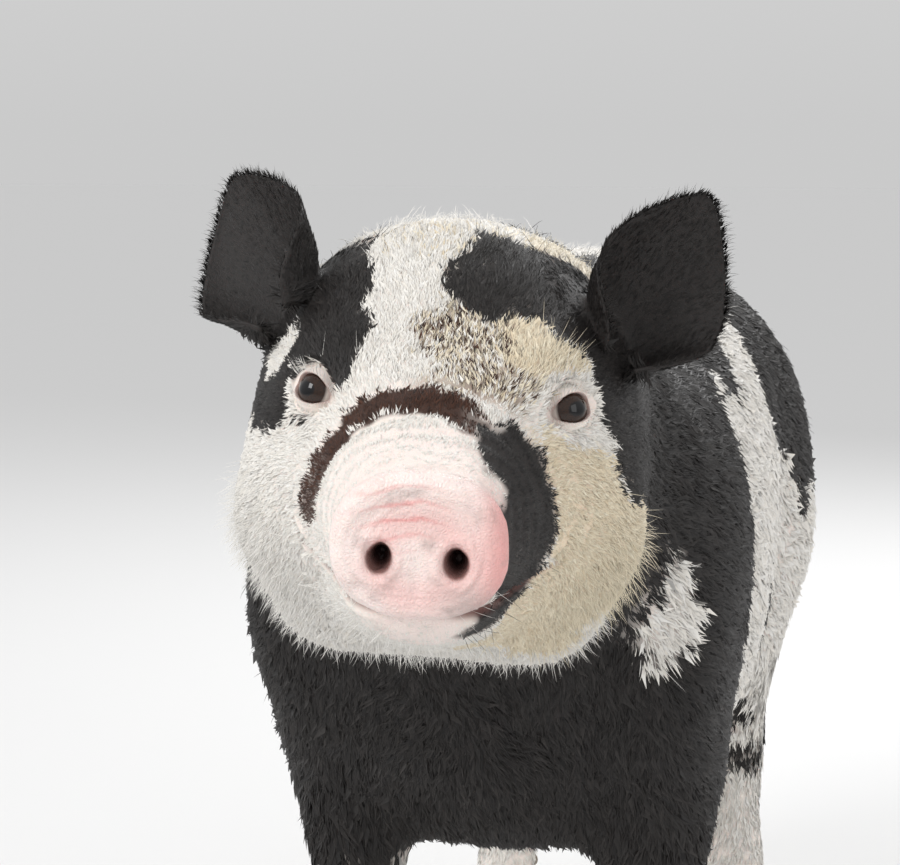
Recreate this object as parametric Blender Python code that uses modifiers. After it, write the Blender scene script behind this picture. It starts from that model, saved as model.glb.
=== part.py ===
# A life-size standing pig: a young, prick-eared, piebald farm pig of about 95 kg that looks up at the viewer.
# The flesh is modelled whole, from lofts that are fused, and is then parted by thin cuts.
# Frame: metres, +Z up, the pig faces -Y and its left side is +X. The origin is on the floor, under the
# middle of the model's box.

import math

import bmesh
import bpy
import numpy as np
from mathutils import Matrix, Vector
from mathutils.bvhtree import BVHTree

# Driving dimensions
GAP = 0.0003                 # kept between pieces that touch
SWELL = 0.0006               # a facetted skin grows by this where a piece is cut back to it
HEAD_AHEAD = 0.285           # snout disc to the joint of head and neck
HEAD_JOINT = Vector((0.0, -0.42, 0.590))
HEAD_YAW = math.radians(8.5)
HEAD_PITCH = math.radians(4.0)
HEAD_ROLL = math.radians(4.0)
NECK_FROM = 0.300            # the head's last ring, behind the disc
TORSO_FRONT = -0.245         # the torso's first ring, along Y
RING_POINTS = 48
VOXEL = 0.004
FLESH_TRIANGLES = 7000

HEAD = (
    Matrix.Translation(HEAD_JOINT)
    @ Matrix.Rotation(HEAD_YAW, 4, "Z")
    @ Matrix.Rotation(HEAD_PITCH, 4, "X")
    @ Matrix.Rotation(HEAD_ROLL, 4, "Y")
    @ Matrix.Translation((0, -HEAD_AHEAD, 0))
)

# Skull and muzzle: behind the disc, half width, top, bottom, height of the widest place, squareness above
# and below. Heights are from the middle of the snout disc.
SKULL = (
    (0.000, 0.0440, 0.0370, -0.0355, 0.000, 2.5, 2.4),
    (0.006, 0.0490, 0.0415, -0.0400, 0.000, 2.5, 2.4),
    (0.014, 0.0485, 0.0415, -0.0395, 0.000, 2.5, 2.4),
    (0.024, 0.0450, 0.0395, -0.0375, 0.000, 2.4, 2.3),
    (0.042, 0.0485, 0.0430, -0.0400, 0.000, 2.3, 2.2),
    (0.070, 0.0580, 0.0510, -0.0460, -0.002, 2.3, 2.2),
    (0.098, 0.0705, 0.0640, -0.0560, -0.005, 2.3, 2.2),
    (0.125, 0.0860, 0.0810, -0.0710, -0.010, 2.3, 2.2),
    (0.155, 0.1020, 0.1010, -0.0910, -0.016, 2.4, 2.2),
    (0.190, 0.1170, 0.1220, -0.1080, -0.022, 2.5, 2.2),
    (0.230, 0.1270, 0.1410, -0.1230, -0.026, 2.6, 2.2),
    (0.265, 0.1310, 0.1500, -0.1340, -0.028, 2.6, 2.2),
    (NECK_FROM, 0.1330, 0.1520, -0.1430, -0.030, 2.5, 2.2),
)
# Lower jaw, measured the same way
JAW = (
    (0.024, 0.0150, -0.030, -0.0420, -0.036, 2.0, 2.0),
    (0.029, 0.0280, -0.026, -0.0540, -0.038, 2.2, 2.0),
    (0.042, 0.0370, -0.022, -0.0640, -0.040, 2.2, 2.1),
    (0.068, 0.0450, -0.020, -0.0740, -0.042, 2.2, 2.1),
    (0.100, 0.0550, -0.020, -0.0840, -0.048, 2.2, 2.1),
    (0.145, 0.0660, -0.030, -0.0980, -0.058, 2.2, 2.1),
    (0.205, 0.0700, -0.050, -0.1060, -0.075, 2.2, 2.1),
)
# Torso: along Y, half width, top, bottom, height of the widest place, squareness above and below
TORSO = (
    (TORSO_FRONT, 0.1700, 0.682, 0.268, 0.450, 2.4, 2.2),
    (-0.140, 0.1750, 0.679, 0.256, 0.450, 2.4, 2.3),
    (0.000, 0.1760, 0.685, 0.250, 0.440, 2.4, 2.3),
    (0.130, 0.1720, 0.692, 0.256, 0.445, 2.4, 2.3),
    (0.250, 0.1720, 0.688, 0.282, 0.460, 2.5, 2.3),
    (0.350, 0.1740, 0.670, 0.318, 0.480, 2.6, 2.3),
    (0.430, 0.1660, 0.636, 0.345, 0.480, 2.6, 2.3),
    (0.490, 0.1400, 0.592, 0.372, 0.475, 2.4, 2.2),
    (0.530, 0.1000, 0.552, 0.402, 0.470, 2.2, 2.1),
    (0.552, 0.0480, 0.515, 0.440, 0.470, 2.0, 2.0),
)
# Legs: height, sideways, along Y, half width, half depth
FORELEG = (
    (0.520, 0.080, -0.235, 0.050, 0.075),
    (0.460, 0.094, -0.240, 0.064, 0.095),
    (0.380, 0.106, -0.235, 0.062, 0.088),
    (0.310, 0.112, -0.224, 0.050, 0.064),
    (0.250, 0.112, -0.226, 0.040, 0.045),
    (0.205, 0.111, -0.234, 0.034, 0.037),
    (0.165, 0.110, -0.240, 0.033, 0.035),
    (0.130, 0.110, -0.238, 0.027, 0.029),
    (0.095, 0.110, -0.234, 0.026, 0.027),
    (0.070, 0.110, -0.235, 0.030, 0.030),
    (0.046, 0.110, -0.246, 0.028, 0.029),
    (0.026, 0.110, -0.254, 0.024, 0.026),
    (0.016, 0.110, -0.256, 0.016, 0.018),
)
HINDLEG = (
    (0.560, 0.070, 0.350, 0.060, 0.090),
    (0.500, 0.086, 0.352, 0.080, 0.125),
    (0.430, 0.098, 0.352, 0.080, 0.138),
    (0.370, 0.106, 0.350, 0.068, 0.122),
    (0.320, 0.110, 0.356, 0.052, 0.092),
    (0.275, 0.112, 0.378, 0.041, 0.062),
    (0.240, 0.112, 0.402, 0.033, 0.047),
    (0.208, 0.112, 0.418, 0.030, 0.040),
    (0.170, 0.112, 0.418, 0.027, 0.032),
    (0.115, 0.112, 0.409, 0.025, 0.028),
    (0.075, 0.112, 0.404, 0.030, 0.031),
    (0.048, 0.112, 0.391, 0.028, 0.029),
    (0.027, 0.112, 0.383, 0.024, 0.026),
    (0.016, 0.112, 0.381, 0.016, 0.018),
)
# Fineness of the facets, as shares that rise towards the smallest ones
FINE_BODY, FINE_LEG, FINE_HEAD, FINE_SNOUT = 0.14, 0.36, 0.52, 0.80
# Cuts of each leg: the leg, which end, height of the knee or hock, height of the top cut, how the top cut leans
# outwards and back, and its radius
LEG_CUTS = (
    (FORELEG, "fore", 0.150, 0.280, (math.radians(30), 0.0), 0.110),
    (HINDLEG, "hind", 0.190, 0.335, (math.radians(30), math.radians(14)), 0.136),
)
KNEE_REACH = 0.060
# How far each foot steps forward (-Y) or back, so that the stance is a natural one
STEPS = {"fore_left": -0.020, "fore_right": 0.018, "hind_left": 0.030, "hind_right": -0.026}
STEP_FROM = 0.34             # the height above which a leg doesn't lean

CLAW_LENGTH, CLAW_WIDTH, CLAW_HEIGHT, CLEFT = 0.056, 0.029, 0.040, 0.004
CLAW_AHEAD = 0.012           # middle of the claw's sole ahead of the leg's end
EYE_BEHIND, EYE_HEIGHT, EYE_RADIUS, EYE_PROUD = 0.146, 0.058, 0.0145, 0.0045
LID_WIDTH, LID_OPENING, LID_RADIUS, LID_PROUD = 0.0135, 0.0098, 0.0034, 0.0012
MOUTH = ((0.032, -0.043), (0.060, -0.042), (0.085, -0.040), (0.102, -0.036), (0.114, -0.029),
         (0.122, -0.020))    # behind the disc, height
MOUTH_GROOVE, MOUTH_STEPS = 0.0022, 12
LIP_RISE = 0.0042            # middle of a lip above or below the line of the mouth
LIP_RADIUS, LIP_SUNK = 0.0056, 0.0034
MOUTH_FADE = (0.0, 0.12, 0.75, 1.0), (0.3, 1.0, 1.0, 0.25)   # share along the mouth, share of the full size
EAR_LENGTH, EAR_WALL, EAR_TURN = 0.122, 0.0055, math.radians(23)
EAR_ROOT = (0.087, 0.250, 0.077)   # sideways, behind the disc, height
EAR_OUT = {"left": math.radians(30), "right": math.radians(34)}
EAR_BACK = {"left": math.radians(8), "right": math.radians(33)}
NOSTRIL_SIDE, NOSTRIL_HEIGHT = 0.0215, -0.007
TAIL_ROOT = Vector((0.0, 0.535, 0.548))
TAIL_LENGTH, TAIL_STRAIGHT, TAIL_TURNS = 0.27, 0.045, 1.15
TAIL_THICK, TAIL_THIN = 0.0125, 0.0045

COLOURS = {
    "coat": ((0.80, 0.76, 0.68, 1), 0.75),
    "dark_coat": ((0.035, 0.032, 0.030, 1), 0.65),
    "snout_skin": ((0.80, 0.52, 0.48, 1), 0.45),
    "claw": ((0.16, 0.13, 0.10, 1), 0.5),
    "eye": ((0.02, 0.012, 0.010, 1), 0.08),
}


def clear_scene():
    for old in list(bpy.data.objects):
        bpy.data.objects.remove(old)


def material(name):
    """The Principled material of one finish."""
    found = bpy.data.materials.get(name)
    if found:
        return found
    colour, roughness = COLOURS[name]
    made = bpy.data.materials.new(name)
    made.use_nodes = True
    shader = made.node_tree.nodes["Principled BSDF"]
    shader.inputs["Base Color"].default_value = colour
    shader.inputs["Roughness"].default_value = roughness
    shader.inputs["Metallic"].default_value = 0.0
    return made


def add_object(name, mesh, collection):
    made = bpy.data.objects.new(name, mesh)
    collection.objects.link(made)
    return made


def mesh_of(name, bm):
    """The mesh of a bmesh, faces outwards, which frees the bmesh."""
    bmesh.ops.recalc_face_normals(bm, faces=bm.faces)
    mesh = bpy.data.meshes.new(name)
    bm.to_mesh(mesh)
    bm.free()
    return mesh


def evaluated_mesh(obj):
    graph = bpy.context.evaluated_depsgraph_get()
    return bpy.data.meshes.new_from_object(obj.evaluated_get(graph))


def apply_modifiers(obj):
    """Replaces the object's mesh with the mesh that its modifiers make."""
    mesh = evaluated_mesh(obj)
    obj.modifiers.clear()
    obj.data = mesh


def smooth_rows(rows, count):
    """The rows of a table at evenly spaced places of its first column, on smooth curves through them."""
    rows = np.array(rows, float)
    if rows[0, 0] > rows[-1, 0]:
        return smooth_rows(rows[::-1], count)[::-1]
    place = rows[:, 0]
    slope = np.gradient(rows, place, axis=0)
    at = np.linspace(place[0], place[-1], count)
    low = np.clip(np.searchsorted(place, at, side="right") - 1, 0, len(place) - 2)
    step = (place[low + 1] - place[low])[:, None]
    t = (at - place[low])[:, None] / step
    return (
        (2 * t**3 - 3 * t**2 + 1) * rows[low]
        + (t**3 - 2 * t**2 + t) * step * slope[low]
        + (3 * t**2 - 2 * t**3) * rows[low + 1]
        + (t**3 - t**2) * step * slope[low + 1]
    )


def rounded_ring(half_width, top, bottom, waist, square_top, square_low):
    """(sideways, height) of the points of a section whose corners are rounded."""
    points = []
    for k in range(RING_POINTS):
        angle = math.tau * k / RING_POINTS
        c, s = math.cos(angle), math.sin(angle)
        power = 2 / (square_top if s >= 0 else square_low)
        rise = top - waist if s >= 0 else waist - bottom
        points.append((math.copysign(abs(c) ** power, c) * half_width,
                       waist + math.copysign(abs(s) ** power, s) * rise))
    return points


def head_rings(table, count):
    """Rings of a table measured from the snout disc, in the body's frame."""
    rings = []
    for behind, *shape in smooth_rows(table, count):
        rings.append([HEAD @ Vector((x, behind, z)) for x, z in rounded_ring(*shape)])
    return rings


def torso_rings():
    rings = []
    for along, *shape in smooth_rows(TORSO, 60):
        rings.append([Vector((x, along, z)) for x, z in rounded_ring(*shape)])
    return rings


def neck_rings(head_end, torso_start, count=16):
    """Rings that leave the head along its own axis and enter the torso along Y."""
    out_of_head = (HEAD.to_3x3() @ Vector((0, 1, 0))) * 0.17
    into_torso = Vector((0, 0.17, 0))
    rings = []
    for step in range(1, count):
        t = step / count
        a, b = 2 * t**3 - 3 * t**2 + 1, t**3 - 2 * t**2 + t
        c, d = 3 * t**2 - 2 * t**3, t**3 - t**2
        rings.append([
            a * p + b * out_of_head + c * q + d * into_torso for p, q in zip(head_end, torso_start)
        ])
    return rings


def leg_rings(table, side, step):
    """Level rings down a leg. side is 1 for the pig's left leg and -1 for its right."""
    rings = []
    for height, sideways, along, half_width, half_depth in smooth_rows(table, 56):
        lean = step * max(0.0, 1 - height / STEP_FROM)
        centre = Vector((side * sideways, along + lean, height))
        rings.append([
            centre + Vector((half_width * math.cos(a), half_depth * math.sin(a), 0))
            for a in (math.tau * k / RING_POINTS for k in range(RING_POINTS))
        ])
    return rings


def add_loft(bm, rings):
    """A closed surface through rings with the same number of points."""
    loops = [[bm.verts.new(p) for p in ring] for ring in rings]
    for near, far in zip(loops, loops[1:]):
        for k in range(len(near)):
            after = (k + 1) % len(near)
            bm.faces.new((near[k], near[after], far[after], far[k]))
    bm.faces.new(loops[0][::-1])
    bm.faces.new(loops[-1])


def head_point(sideways, behind, height):
    """A place on or in the head, in the body's frame."""
    return HEAD @ Vector((sideways, behind, height))


def head_direction(sideways, behind, height):
    return (HEAD.to_3x3() @ Vector((sideways, behind, height))).normalized()


def on_face(tree, side, behind, height):
    """The place on the skin of the head that is straight inwards from beside this one."""
    start = head_point(side * 0.30, behind, height)
    place, *_ = tree.ray_cast(start, head_direction(-side, 0, 0))
    return place


# Swellings and hollows of the flesh: middle, reach along the three axes, and how far the surface moves.
# Those of the head are in its own frame (sideways, behind the disc, height). All are on both sides.
HEAD_FORMS = (
    ((0.074, 0.150, 0.086), (0.030, 0.030, 0.020), (0.004, -0.004, 0.007)),    # brow over the eye
    ((0.062, 0.108, 0.048), (0.018, 0.020, 0.022), (-0.006, 0.003, -0.002)),   # hollow in front of the eye
    ((0.080, 0.138, 0.030), (0.020, 0.030, 0.016), (-0.004, 0.000, 0.000)),    # under the eye
    ((0.112, 0.195, -0.036), (0.042, 0.050, 0.045), (0.010, -0.004, -0.003)),  # cheek
    ((0.088, 0.235, -0.125), (0.050, 0.055, 0.038), (0.010, -0.006, -0.014)),  # jowl
    ((0.102, 0.212, 0.078), (0.022, 0.022, 0.030), (-0.007, 0.000, 0.000)),    # temple
    ((0.000, 0.160, 0.098), (0.040, 0.040, 0.020), (0.000, 0.003, -0.004)),    # dish of the forehead
    ((0.000, 0.058, 0.046), (0.026, 0.030, 0.012), (0.000, 0.000, -0.002)),    # bridge
    ((0.048, 0.052, -0.026), (0.014, 0.034, 0.012), (0.0035, 0.000, -0.003)),  # overhang of the upper lip
    ((0.000, 0.255, 0.150), (0.030, 0.030, 0.030), (0.000, 0.000, 0.006)),     # poll
)
BODY_FORMS = (
    ((0.130, -0.330, 0.430), (0.060, 0.055, 0.090), (0.016, -0.014, 0.000)),   # point of the shoulder
    ((0.158, -0.200, 0.520), (0.050, 0.080, 0.110), (0.010, 0.000, 0.000)),    # shoulder blade
    ((0.168, -0.110, 0.470), (0.040, 0.035, 0.130), (-0.009, 0.000, 0.000)),   # hollow behind the shoulder
    ((0.150, -0.170, 0.320), (0.035, 0.035, 0.040), (0.008, 0.012, 0.000)),    # elbow
    ((0.172, 0.235, 0.400), (0.040, 0.045, 0.110), (-0.012, 0.000, 0.000)),    # flank
    ((0.168, 0.370, 0.450), (0.050, 0.080, 0.110), (0.014, 0.000, 0.000)),     # ham
    ((0.075, 0.500, 0.440), (0.060, 0.050, 0.090), (0.000, 0.016, 0.000)),     # buttock
    ((0.000, -0.010, 0.690), (0.018, 0.330, 0.030), (0.000, 0.000, -0.004)),   # groove along the back
    ((0.000, 0.540, 0.400), (0.020, 0.060, 0.110), (0.000, -0.016, 0.000)),    # cleft between the hams
    ((0.000, -0.350, 0.340), (0.060, 0.060, 0.060), (0.000, -0.022, -0.010)),  # brisket
)


def swell(points, forms, frame):
    """Moves the points by every form, on both sides of the frame's middle plane."""
    own = (np.array(frame.inverted()) @ np.c_[points, np.ones(len(points))].T).T[:, :3]
    moved = own.copy()
    for middle, reach, push in forms:
        for side in (1, -1) if middle[0] else (1,):
            flip = np.array((side, 1, 1))
            away = np.linalg.norm((own - np.array(middle) * flip) / np.array(reach), axis=1)
            moved += np.exp(-(away**2))[:, None] * np.array(push) * flip
    return (np.array(frame) @ np.c_[moved, np.ones(len(moved))].T).T[:, :3]


def smoothed(points, edges, share, rounds):
    """Each point drawn towards the mean of its neighbours, by a share that may differ from point to point."""
    count = np.bincount(edges.ravel(), minlength=len(points))[:, None]
    for _ in range(rounds):
        total = np.column_stack([
            np.bincount(edges[:, 0], points[edges[:, 1], k], len(points))
            + np.bincount(edges[:, 1], points[edges[:, 0], k], len(points))
            for k in range(3)
        ])
        points = points + share[:, None] * (total / count - points)
    return points


def flesh(collection):
    """Head, neck, torso and legs as one closed surface."""
    bm = bmesh.new()
    head = head_rings(SKULL, 80)
    torso = torso_rings()
    add_loft(bm, head + neck_rings(head[-1], torso[0]) + torso)
    add_loft(bm, head_rings(JAW, 40))
    for side, hand in ((1, "left"), (-1, "right")):
        add_loft(bm, leg_rings(FORELEG, side, STEPS["fore_" + hand]))
        add_loft(bm, leg_rings(HINDLEG, side, STEPS["hind_" + hand]))
    made = add_object("flesh", mesh_of("flesh", bm), collection)
    fuse = made.modifiers.new("fuse", "REMESH")
    fuse.mode = "VOXEL"
    fuse.voxel_size = VOXEL
    apply_modifiers(made)

    points = np.empty(len(made.data.vertices) * 3)
    made.data.vertices.foreach_get("co", points)
    points = points.reshape(-1, 3)
    edges = np.empty(len(made.data.edges) * 2, int)
    made.data.edges.foreach_get("vertices", edges)
    edges = edges.reshape(-1, 2)
    ahead = (np.array(HEAD.inverted()) @ np.c_[points, np.ones(len(points))].T).T[:, 1]
    face = np.clip((0.26 - ahead) / 0.15, 0, 1)
    lower_leg = np.clip((0.24 - points[:, 2]) / 0.06, 0, 1)
    share = 0.6 * (1 - np.maximum(face, lower_leg))
    points = smoothed(points, edges, share, 60)
    points = smoothed(points, edges, np.full(len(points), 0.4), 3)
    points = swell(points, HEAD_FORMS, HEAD)
    points = swell(points, BODY_FORMS, Matrix.Identity(4))
    made.data.vertices.foreach_set("co", points.ravel())

    group = made.vertex_groups.new(name="keep")
    weight = np.interp(ahead, (0.065, 0.085, 0.240, 0.320), (FINE_SNOUT, FINE_HEAD, FINE_HEAD, FINE_BODY))
    leg = np.interp(points[:, 2], (0.24, 0.34), (FINE_LEG, FINE_BODY))
    for index, fine in enumerate(np.maximum(weight, leg).tolist()):
        group.add((index,), fine, "REPLACE")
    fewer = made.modifiers.new("fewer", "DECIMATE")
    fewer.ratio = FLESH_TRIANGLES / (2 * len(made.data.polygons))
    fewer.vertex_group = group.name
    fewer.invert_vertex_group = True
    fewer.vertex_group_factor = 0.001
    apply_modifiers(made)
    made.vertex_groups.clear()
    return made


def tube(name, points, radius, collection, cyclic=False, sides=2):
    """A closed round tube as a mesh. radius is one size, or one for each point."""
    curve = bpy.data.curves.new(name, "CURVE")
    curve.dimensions = "3D"
    curve.bevel_depth = 1.0
    curve.bevel_resolution = sides
    curve.use_fill_caps = not cyclic
    spline = curve.splines.new("POLY")
    spline.points.add(len(points) - 1)
    radii = radius if hasattr(radius, "__len__") else [radius] * len(points)
    for point, place, size in zip(spline.points, points, radii):
        point.co = (*place, 1)
        point.radius = size
    spline.use_cyclic_u = cyclic
    made = add_object(name, curve, collection)
    mesh = evaluated_mesh(made)
    bpy.data.objects.remove(made)
    bm = bmesh.new()
    bm.from_mesh(mesh)
    bmesh.ops.remove_doubles(bm, verts=bm.verts, dist=0.00001)
    return add_object(name, mesh_of(name, bm), collection)


def ball(name, centre, radii, axes, collection, segments=20):
    """An ellipsoid whose axes are the columns of a rotation."""
    bm = bmesh.new()
    bmesh.ops.create_uvsphere(bm, u_segments=segments, v_segments=segments // 2 + 2, radius=1.0)
    place = Matrix.Translation(centre) @ axes.to_4x4() @ Matrix.Diagonal((*radii, 1))
    bmesh.ops.transform(bm, matrix=place, verts=bm.verts)
    return add_object(name, mesh_of(name, bm), collection)


def disc(name, centre, normal, radius, collection):
    """A thin round cutter that parts what it crosses by GAP."""
    bm = bmesh.new()
    bmesh.ops.create_cone(bm, cap_ends=True, segments=32, radius1=radius, radius2=radius, depth=GAP)
    turn = normal.to_track_quat("Z", "Y").to_matrix().to_4x4()
    bmesh.ops.transform(bm, matrix=Matrix.Translation(centre) @ turn, verts=bm.verts)
    return add_object(name, mesh_of(name, bm), collection)


def combine(target, pieces, operation, solver="EXACT"):
    """One Boolean with a collection of closed meshes, which are then removed."""
    group = bpy.data.collections.new("operands")
    bpy.context.scene.collection.children.link(group)
    for piece in pieces:
        for old in list(piece.users_collection):
            old.objects.unlink(piece)
        group.objects.link(piece)
    cut = target.modifiers.new("combine", "BOOLEAN")
    cut.operation = operation
    cut.operand_type = "COLLECTION"
    cut.collection = group
    cut.solver = solver
    apply_modifiers(target)
    for piece in list(group.objects):
        bpy.data.objects.remove(piece)
    bpy.data.collections.remove(group)


def shells(obj):
    """The object's separate closed surfaces, each as its own bmesh, largest first."""
    bm = bmesh.new()
    bm.from_mesh(obj.data)
    seen, found = set(), []
    for start in bm.faces:
        if start in seen:
            continue
        group, queue = set(), [start]
        seen.add(start)
        while queue:
            face = queue.pop()
            group.add(face)
            for edge in face.edges:
                for other in edge.link_faces:
                    if other not in seen:
                        seen.add(other)
                        queue.append(other)
        found.append(group)
    made = []
    for group in found:
        part = bm.copy()
        part.faces.ensure_lookup_table()
        keep = {face.index for face in group}
        bmesh.ops.delete(part, geom=[f for f in part.faces if f.index not in keep], context="FACES")
        made.append(part)
    bm.free()
    return sorted(made, key=lambda part: -part.calc_volume())


def keep_largest(obj):
    """Drops all but the largest closed surface."""
    first, *rest = shells(obj)
    for part in rest:
        part.free()
    mesh = bpy.data.meshes.new(obj.name)
    first.to_mesh(mesh)
    first.free()
    obj.data = mesh


def clear_of(piece, around):
    """Cuts a piece back to GAP from what it grows from."""
    cutter = add_object("grown", around.data.copy(), bpy.context.scene.collection)
    swollen = cutter.modifiers.new("gap", "DISPLACE")
    swollen.mid_level = 0
    swollen.strength = SWELL
    apply_modifiers(cutter)
    combine(piece, [cutter], "DIFFERENCE")
    keep_largest(piece)


def eye_place(tree, side):
    """Centre of the eyeball, and the directions along its lids, up across them and outwards."""
    outward = head_direction(side * 0.68, -0.68, 0.28)
    centre = on_face(tree, side, EYE_BEHIND, EYE_HEIGHT) - outward * (EYE_RADIUS - EYE_PROUD)
    upward = (head_direction(0, 0, 1) - outward * head_direction(0, 0, 1).dot(outward)).normalized()
    tilt = Matrix.Rotation(side * math.radians(10), 3, outward)
    return centre, tilt @ (upward.cross(outward) * side), tilt @ upward, outward


def lid_points(tree, side, count=20):
    """The rim of the lids round one eye."""
    centre, along, upward, outward = eye_place(tree, side)
    rim = EYE_RADIUS + LID_PROUD
    points = []
    for k in range(count):
        angle = math.tau * k / count
        a, b = LID_WIDTH * math.cos(angle), LID_OPENING * math.sin(angle)
        depth = math.sqrt(max(rim**2 - a**2 - b**2, 0.0))
        points.append(centre + along * a + upward * b + outward * depth)
    return points


def mouth_tube(tree, side, rise, sunk, radius, helpers):
    """A tube along the line of the mouth, or above or below it, that fades at both ends."""
    line, radii = [], []
    for step, (behind, height) in enumerate(smooth_rows(MOUTH, MOUTH_STEPS)):
        size = radius * np.interp(step / (MOUTH_STEPS - 1), *MOUTH_FADE)
        line.append(on_face(tree, side, behind, height + rise) + head_direction(-side, 0, 0) * sunk)
        radii.append(size)
    return tube("mouth", line, radii, helpers, sides=1)


def nostril(side, collection):
    """A cutter for one nostril, wider above and turned a little outwards."""
    centre = head_point(side * NOSTRIL_SIDE, 0.002, NOSTRIL_HEIGHT)
    turn = HEAD.to_3x3() @ Matrix.Rotation(side * math.radians(-18), 3, "Y")
    return ball("nostril", centre, (0.0074, 0.020, 0.0092), turn, collection, 16)


def add_face_details(body, tree, helpers):
    """Lids, lips, mouth line, nostrils and eye sockets on the fused flesh."""
    added = []
    for side in (1, -1):
        added.append(tube("lid", lid_points(tree, side), LID_RADIUS, helpers, cyclic=True, sides=1))
        for rise in (LIP_RISE, -LIP_RISE):
            added.append(mouth_tube(tree, side, rise, LIP_SUNK, LIP_RADIUS, helpers))
    combine(body, added, "UNION")
    keep_largest(body)
    cuts = []
    for side in (1, -1):
        centre, *_ = eye_place(tree, side)
        cuts.append(ball("socket", centre, (EYE_RADIUS + GAP,) * 3, Matrix.Identity(3), helpers, 24))
        cuts.append(nostril(side, helpers))
        cuts.append(mouth_tube(tree, side, 0.0, 0.0, MOUTH_GROOVE, helpers))
    combine(body, cuts, "DIFFERENCE")
    keep_largest(body)


def eyeball(tree, side, hand, collection):
    centre, *_ = eye_place(tree, side)
    return ball("eye_" + hand, centre, (EYE_RADIUS,) * 3, Matrix.Identity(3), collection, 16)


def ear(side, hand, collection):
    """A cupped, pointed ear, as a sheet that Solidify gives its wall."""
    rows, columns = 12, 11
    half_arc = ((0.0, 0.058), (0.12, 0.068), (0.30, 0.070), (0.50, 0.060), (0.70, 0.043),
                (0.86, 0.025), (0.96, 0.012), (1.0, 0.004))
    curl = ((0.0, 152), (0.12, 130), (0.30, 84), (0.50, 56), (0.70, 42), (1.0, 24))
    bm = bmesh.new()
    sheet = []
    for row in range(rows):
        v = row / (rows - 1)
        half = np.interp(v, *zip(*half_arc))
        turn = math.radians(np.interp(v, *zip(*curl)))
        radius = half / turn
        line = []
        for column in range(columns):
            u = 2 * column / (columns - 1) - 1
            x = radius * math.sin(u * turn) + 0.006 * v * v * (1 - v)
            y = -radius * (1 - math.cos(u * turn)) - 0.016 * v * v
            line.append(bm.verts.new((x, y, EAR_LENGTH * v + 0.004 * abs(u) * (1 - v))))
        sheet.append(line)
    for low, high in zip(sheet, sheet[1:]):
        for k in range(columns - 1):
            bm.faces.new((low[k], low[k + 1], high[k + 1], high[k]))
    made = add_object("ear_" + hand, mesh_of("ear", bm), collection)
    group = made.vertex_groups.new(name="wall")
    for index in range(rows * columns):
        v, u = (index // columns) / (rows - 1), 2 * (index % columns) / (columns - 1) - 1
        group.add((index,), max(0.42, 1 - 0.45 * v - 0.25 * abs(u) ** 3), "REPLACE")
    wall = made.modifiers.new("wall", "SOLIDIFY")
    wall.thickness = EAR_WALL
    wall.offset = 0.0
    wall.vertex_group = group.name
    apply_modifiers(made)
    made.vertex_groups.clear()
    root = Vector((side * EAR_ROOT[0], EAR_ROOT[1], EAR_ROOT[2]))
    place = (
        HEAD
        @ Matrix.Translation(root)
        @ Matrix.Rotation(side * EAR_OUT[hand], 4, "Y")
        @ Matrix.Rotation(-EAR_BACK[hand], 4, "X")
        @ Matrix.Rotation(side * EAR_TURN, 4, "Z")
        @ Matrix.Diagonal((side, 1, 1, 1))
    )
    made.data.transform(place)
    bm = bmesh.new()
    bm.from_mesh(made.data)
    made.data = mesh_of("ear", bm)
    return made


def tail_line(count=34):
    """Points and radii of the tail: straight out of the rump, then one curl that hangs to its left."""
    points, radii = [], []
    for step in range(count):
        share = step / (count - 1)
        out = TAIL_LENGTH * share
        straight = min(out, TAIL_STRAIGHT)
        turn = math.tau * TAIL_TURNS * max(0.0, out - TAIL_STRAIGHT) / (TAIL_LENGTH - TAIL_STRAIGHT)
        curl = 0.029 - 0.006 * share
        points.append(TAIL_ROOT + Vector((
            0.030 * turn / math.tau + 0.006 * math.sin(turn),
            straight * 0.9 + curl * math.sin(turn),
            0.35 * straight - curl * (1 - math.cos(turn)),
        )))
        radii.append(TAIL_THICK + (TAIL_THIN - TAIL_THICK) * share)
    return points, radii


def part_tail(tail, collection, helpers):
    """Cuts the tail across, just past the start of its curl."""
    points, _ = tail_line()
    at = 13
    cut = disc("cut", points[at], points[at + 1] - points[at - 1], 0.018, helpers)
    combine(tail, [cut], "DIFFERENCE")
    halves = shells(tail)[:2]
    halves.sort(key=lambda half: min((v.co - points[0]).length for v in half.verts))
    for name, half in zip(("tail_root", "tail_tip"), halves):
        mesh = bpy.data.meshes.new(name)
        half.to_mesh(mesh)
        half.free()
        add_object(name, mesh, collection)
    bpy.data.objects.remove(tail)


def claw(name, side_of_foot, foot, collection):
    """One horn claw with a flat sole on the floor. side_of_foot is 1 or -1."""
    bm = bmesh.new()
    rings = []
    for height, length, width, back in ((0.0, 1.0, 1.0, 0.0), (0.006, 1.03, 1.05, 0.0),
                                        (0.022, 0.93, 1.03, 0.003), (CLAW_HEIGHT, 0.74, 0.94, 0.010)):
        ring = []
        for k in range(12):
            angle = math.tau * k / 12
            x, y = math.cos(angle), math.sin(angle)
            narrow = 1 - 0.30 * max(0.0, -y) ** 1.5
            inner = 0.86 if x * side_of_foot < 0 else 1.0
            ring.append(Vector((
                side_of_foot * (CLEFT + CLAW_WIDTH) / 2 + x * narrow * inner * width * CLAW_WIDTH / 2,
                back + y * length * CLAW_LENGTH / 2,
                height,
            )) + foot)
        rings.append(ring)
    add_loft(bm, rings)
    return add_object(name, mesh_of(name, bm), collection)


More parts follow.
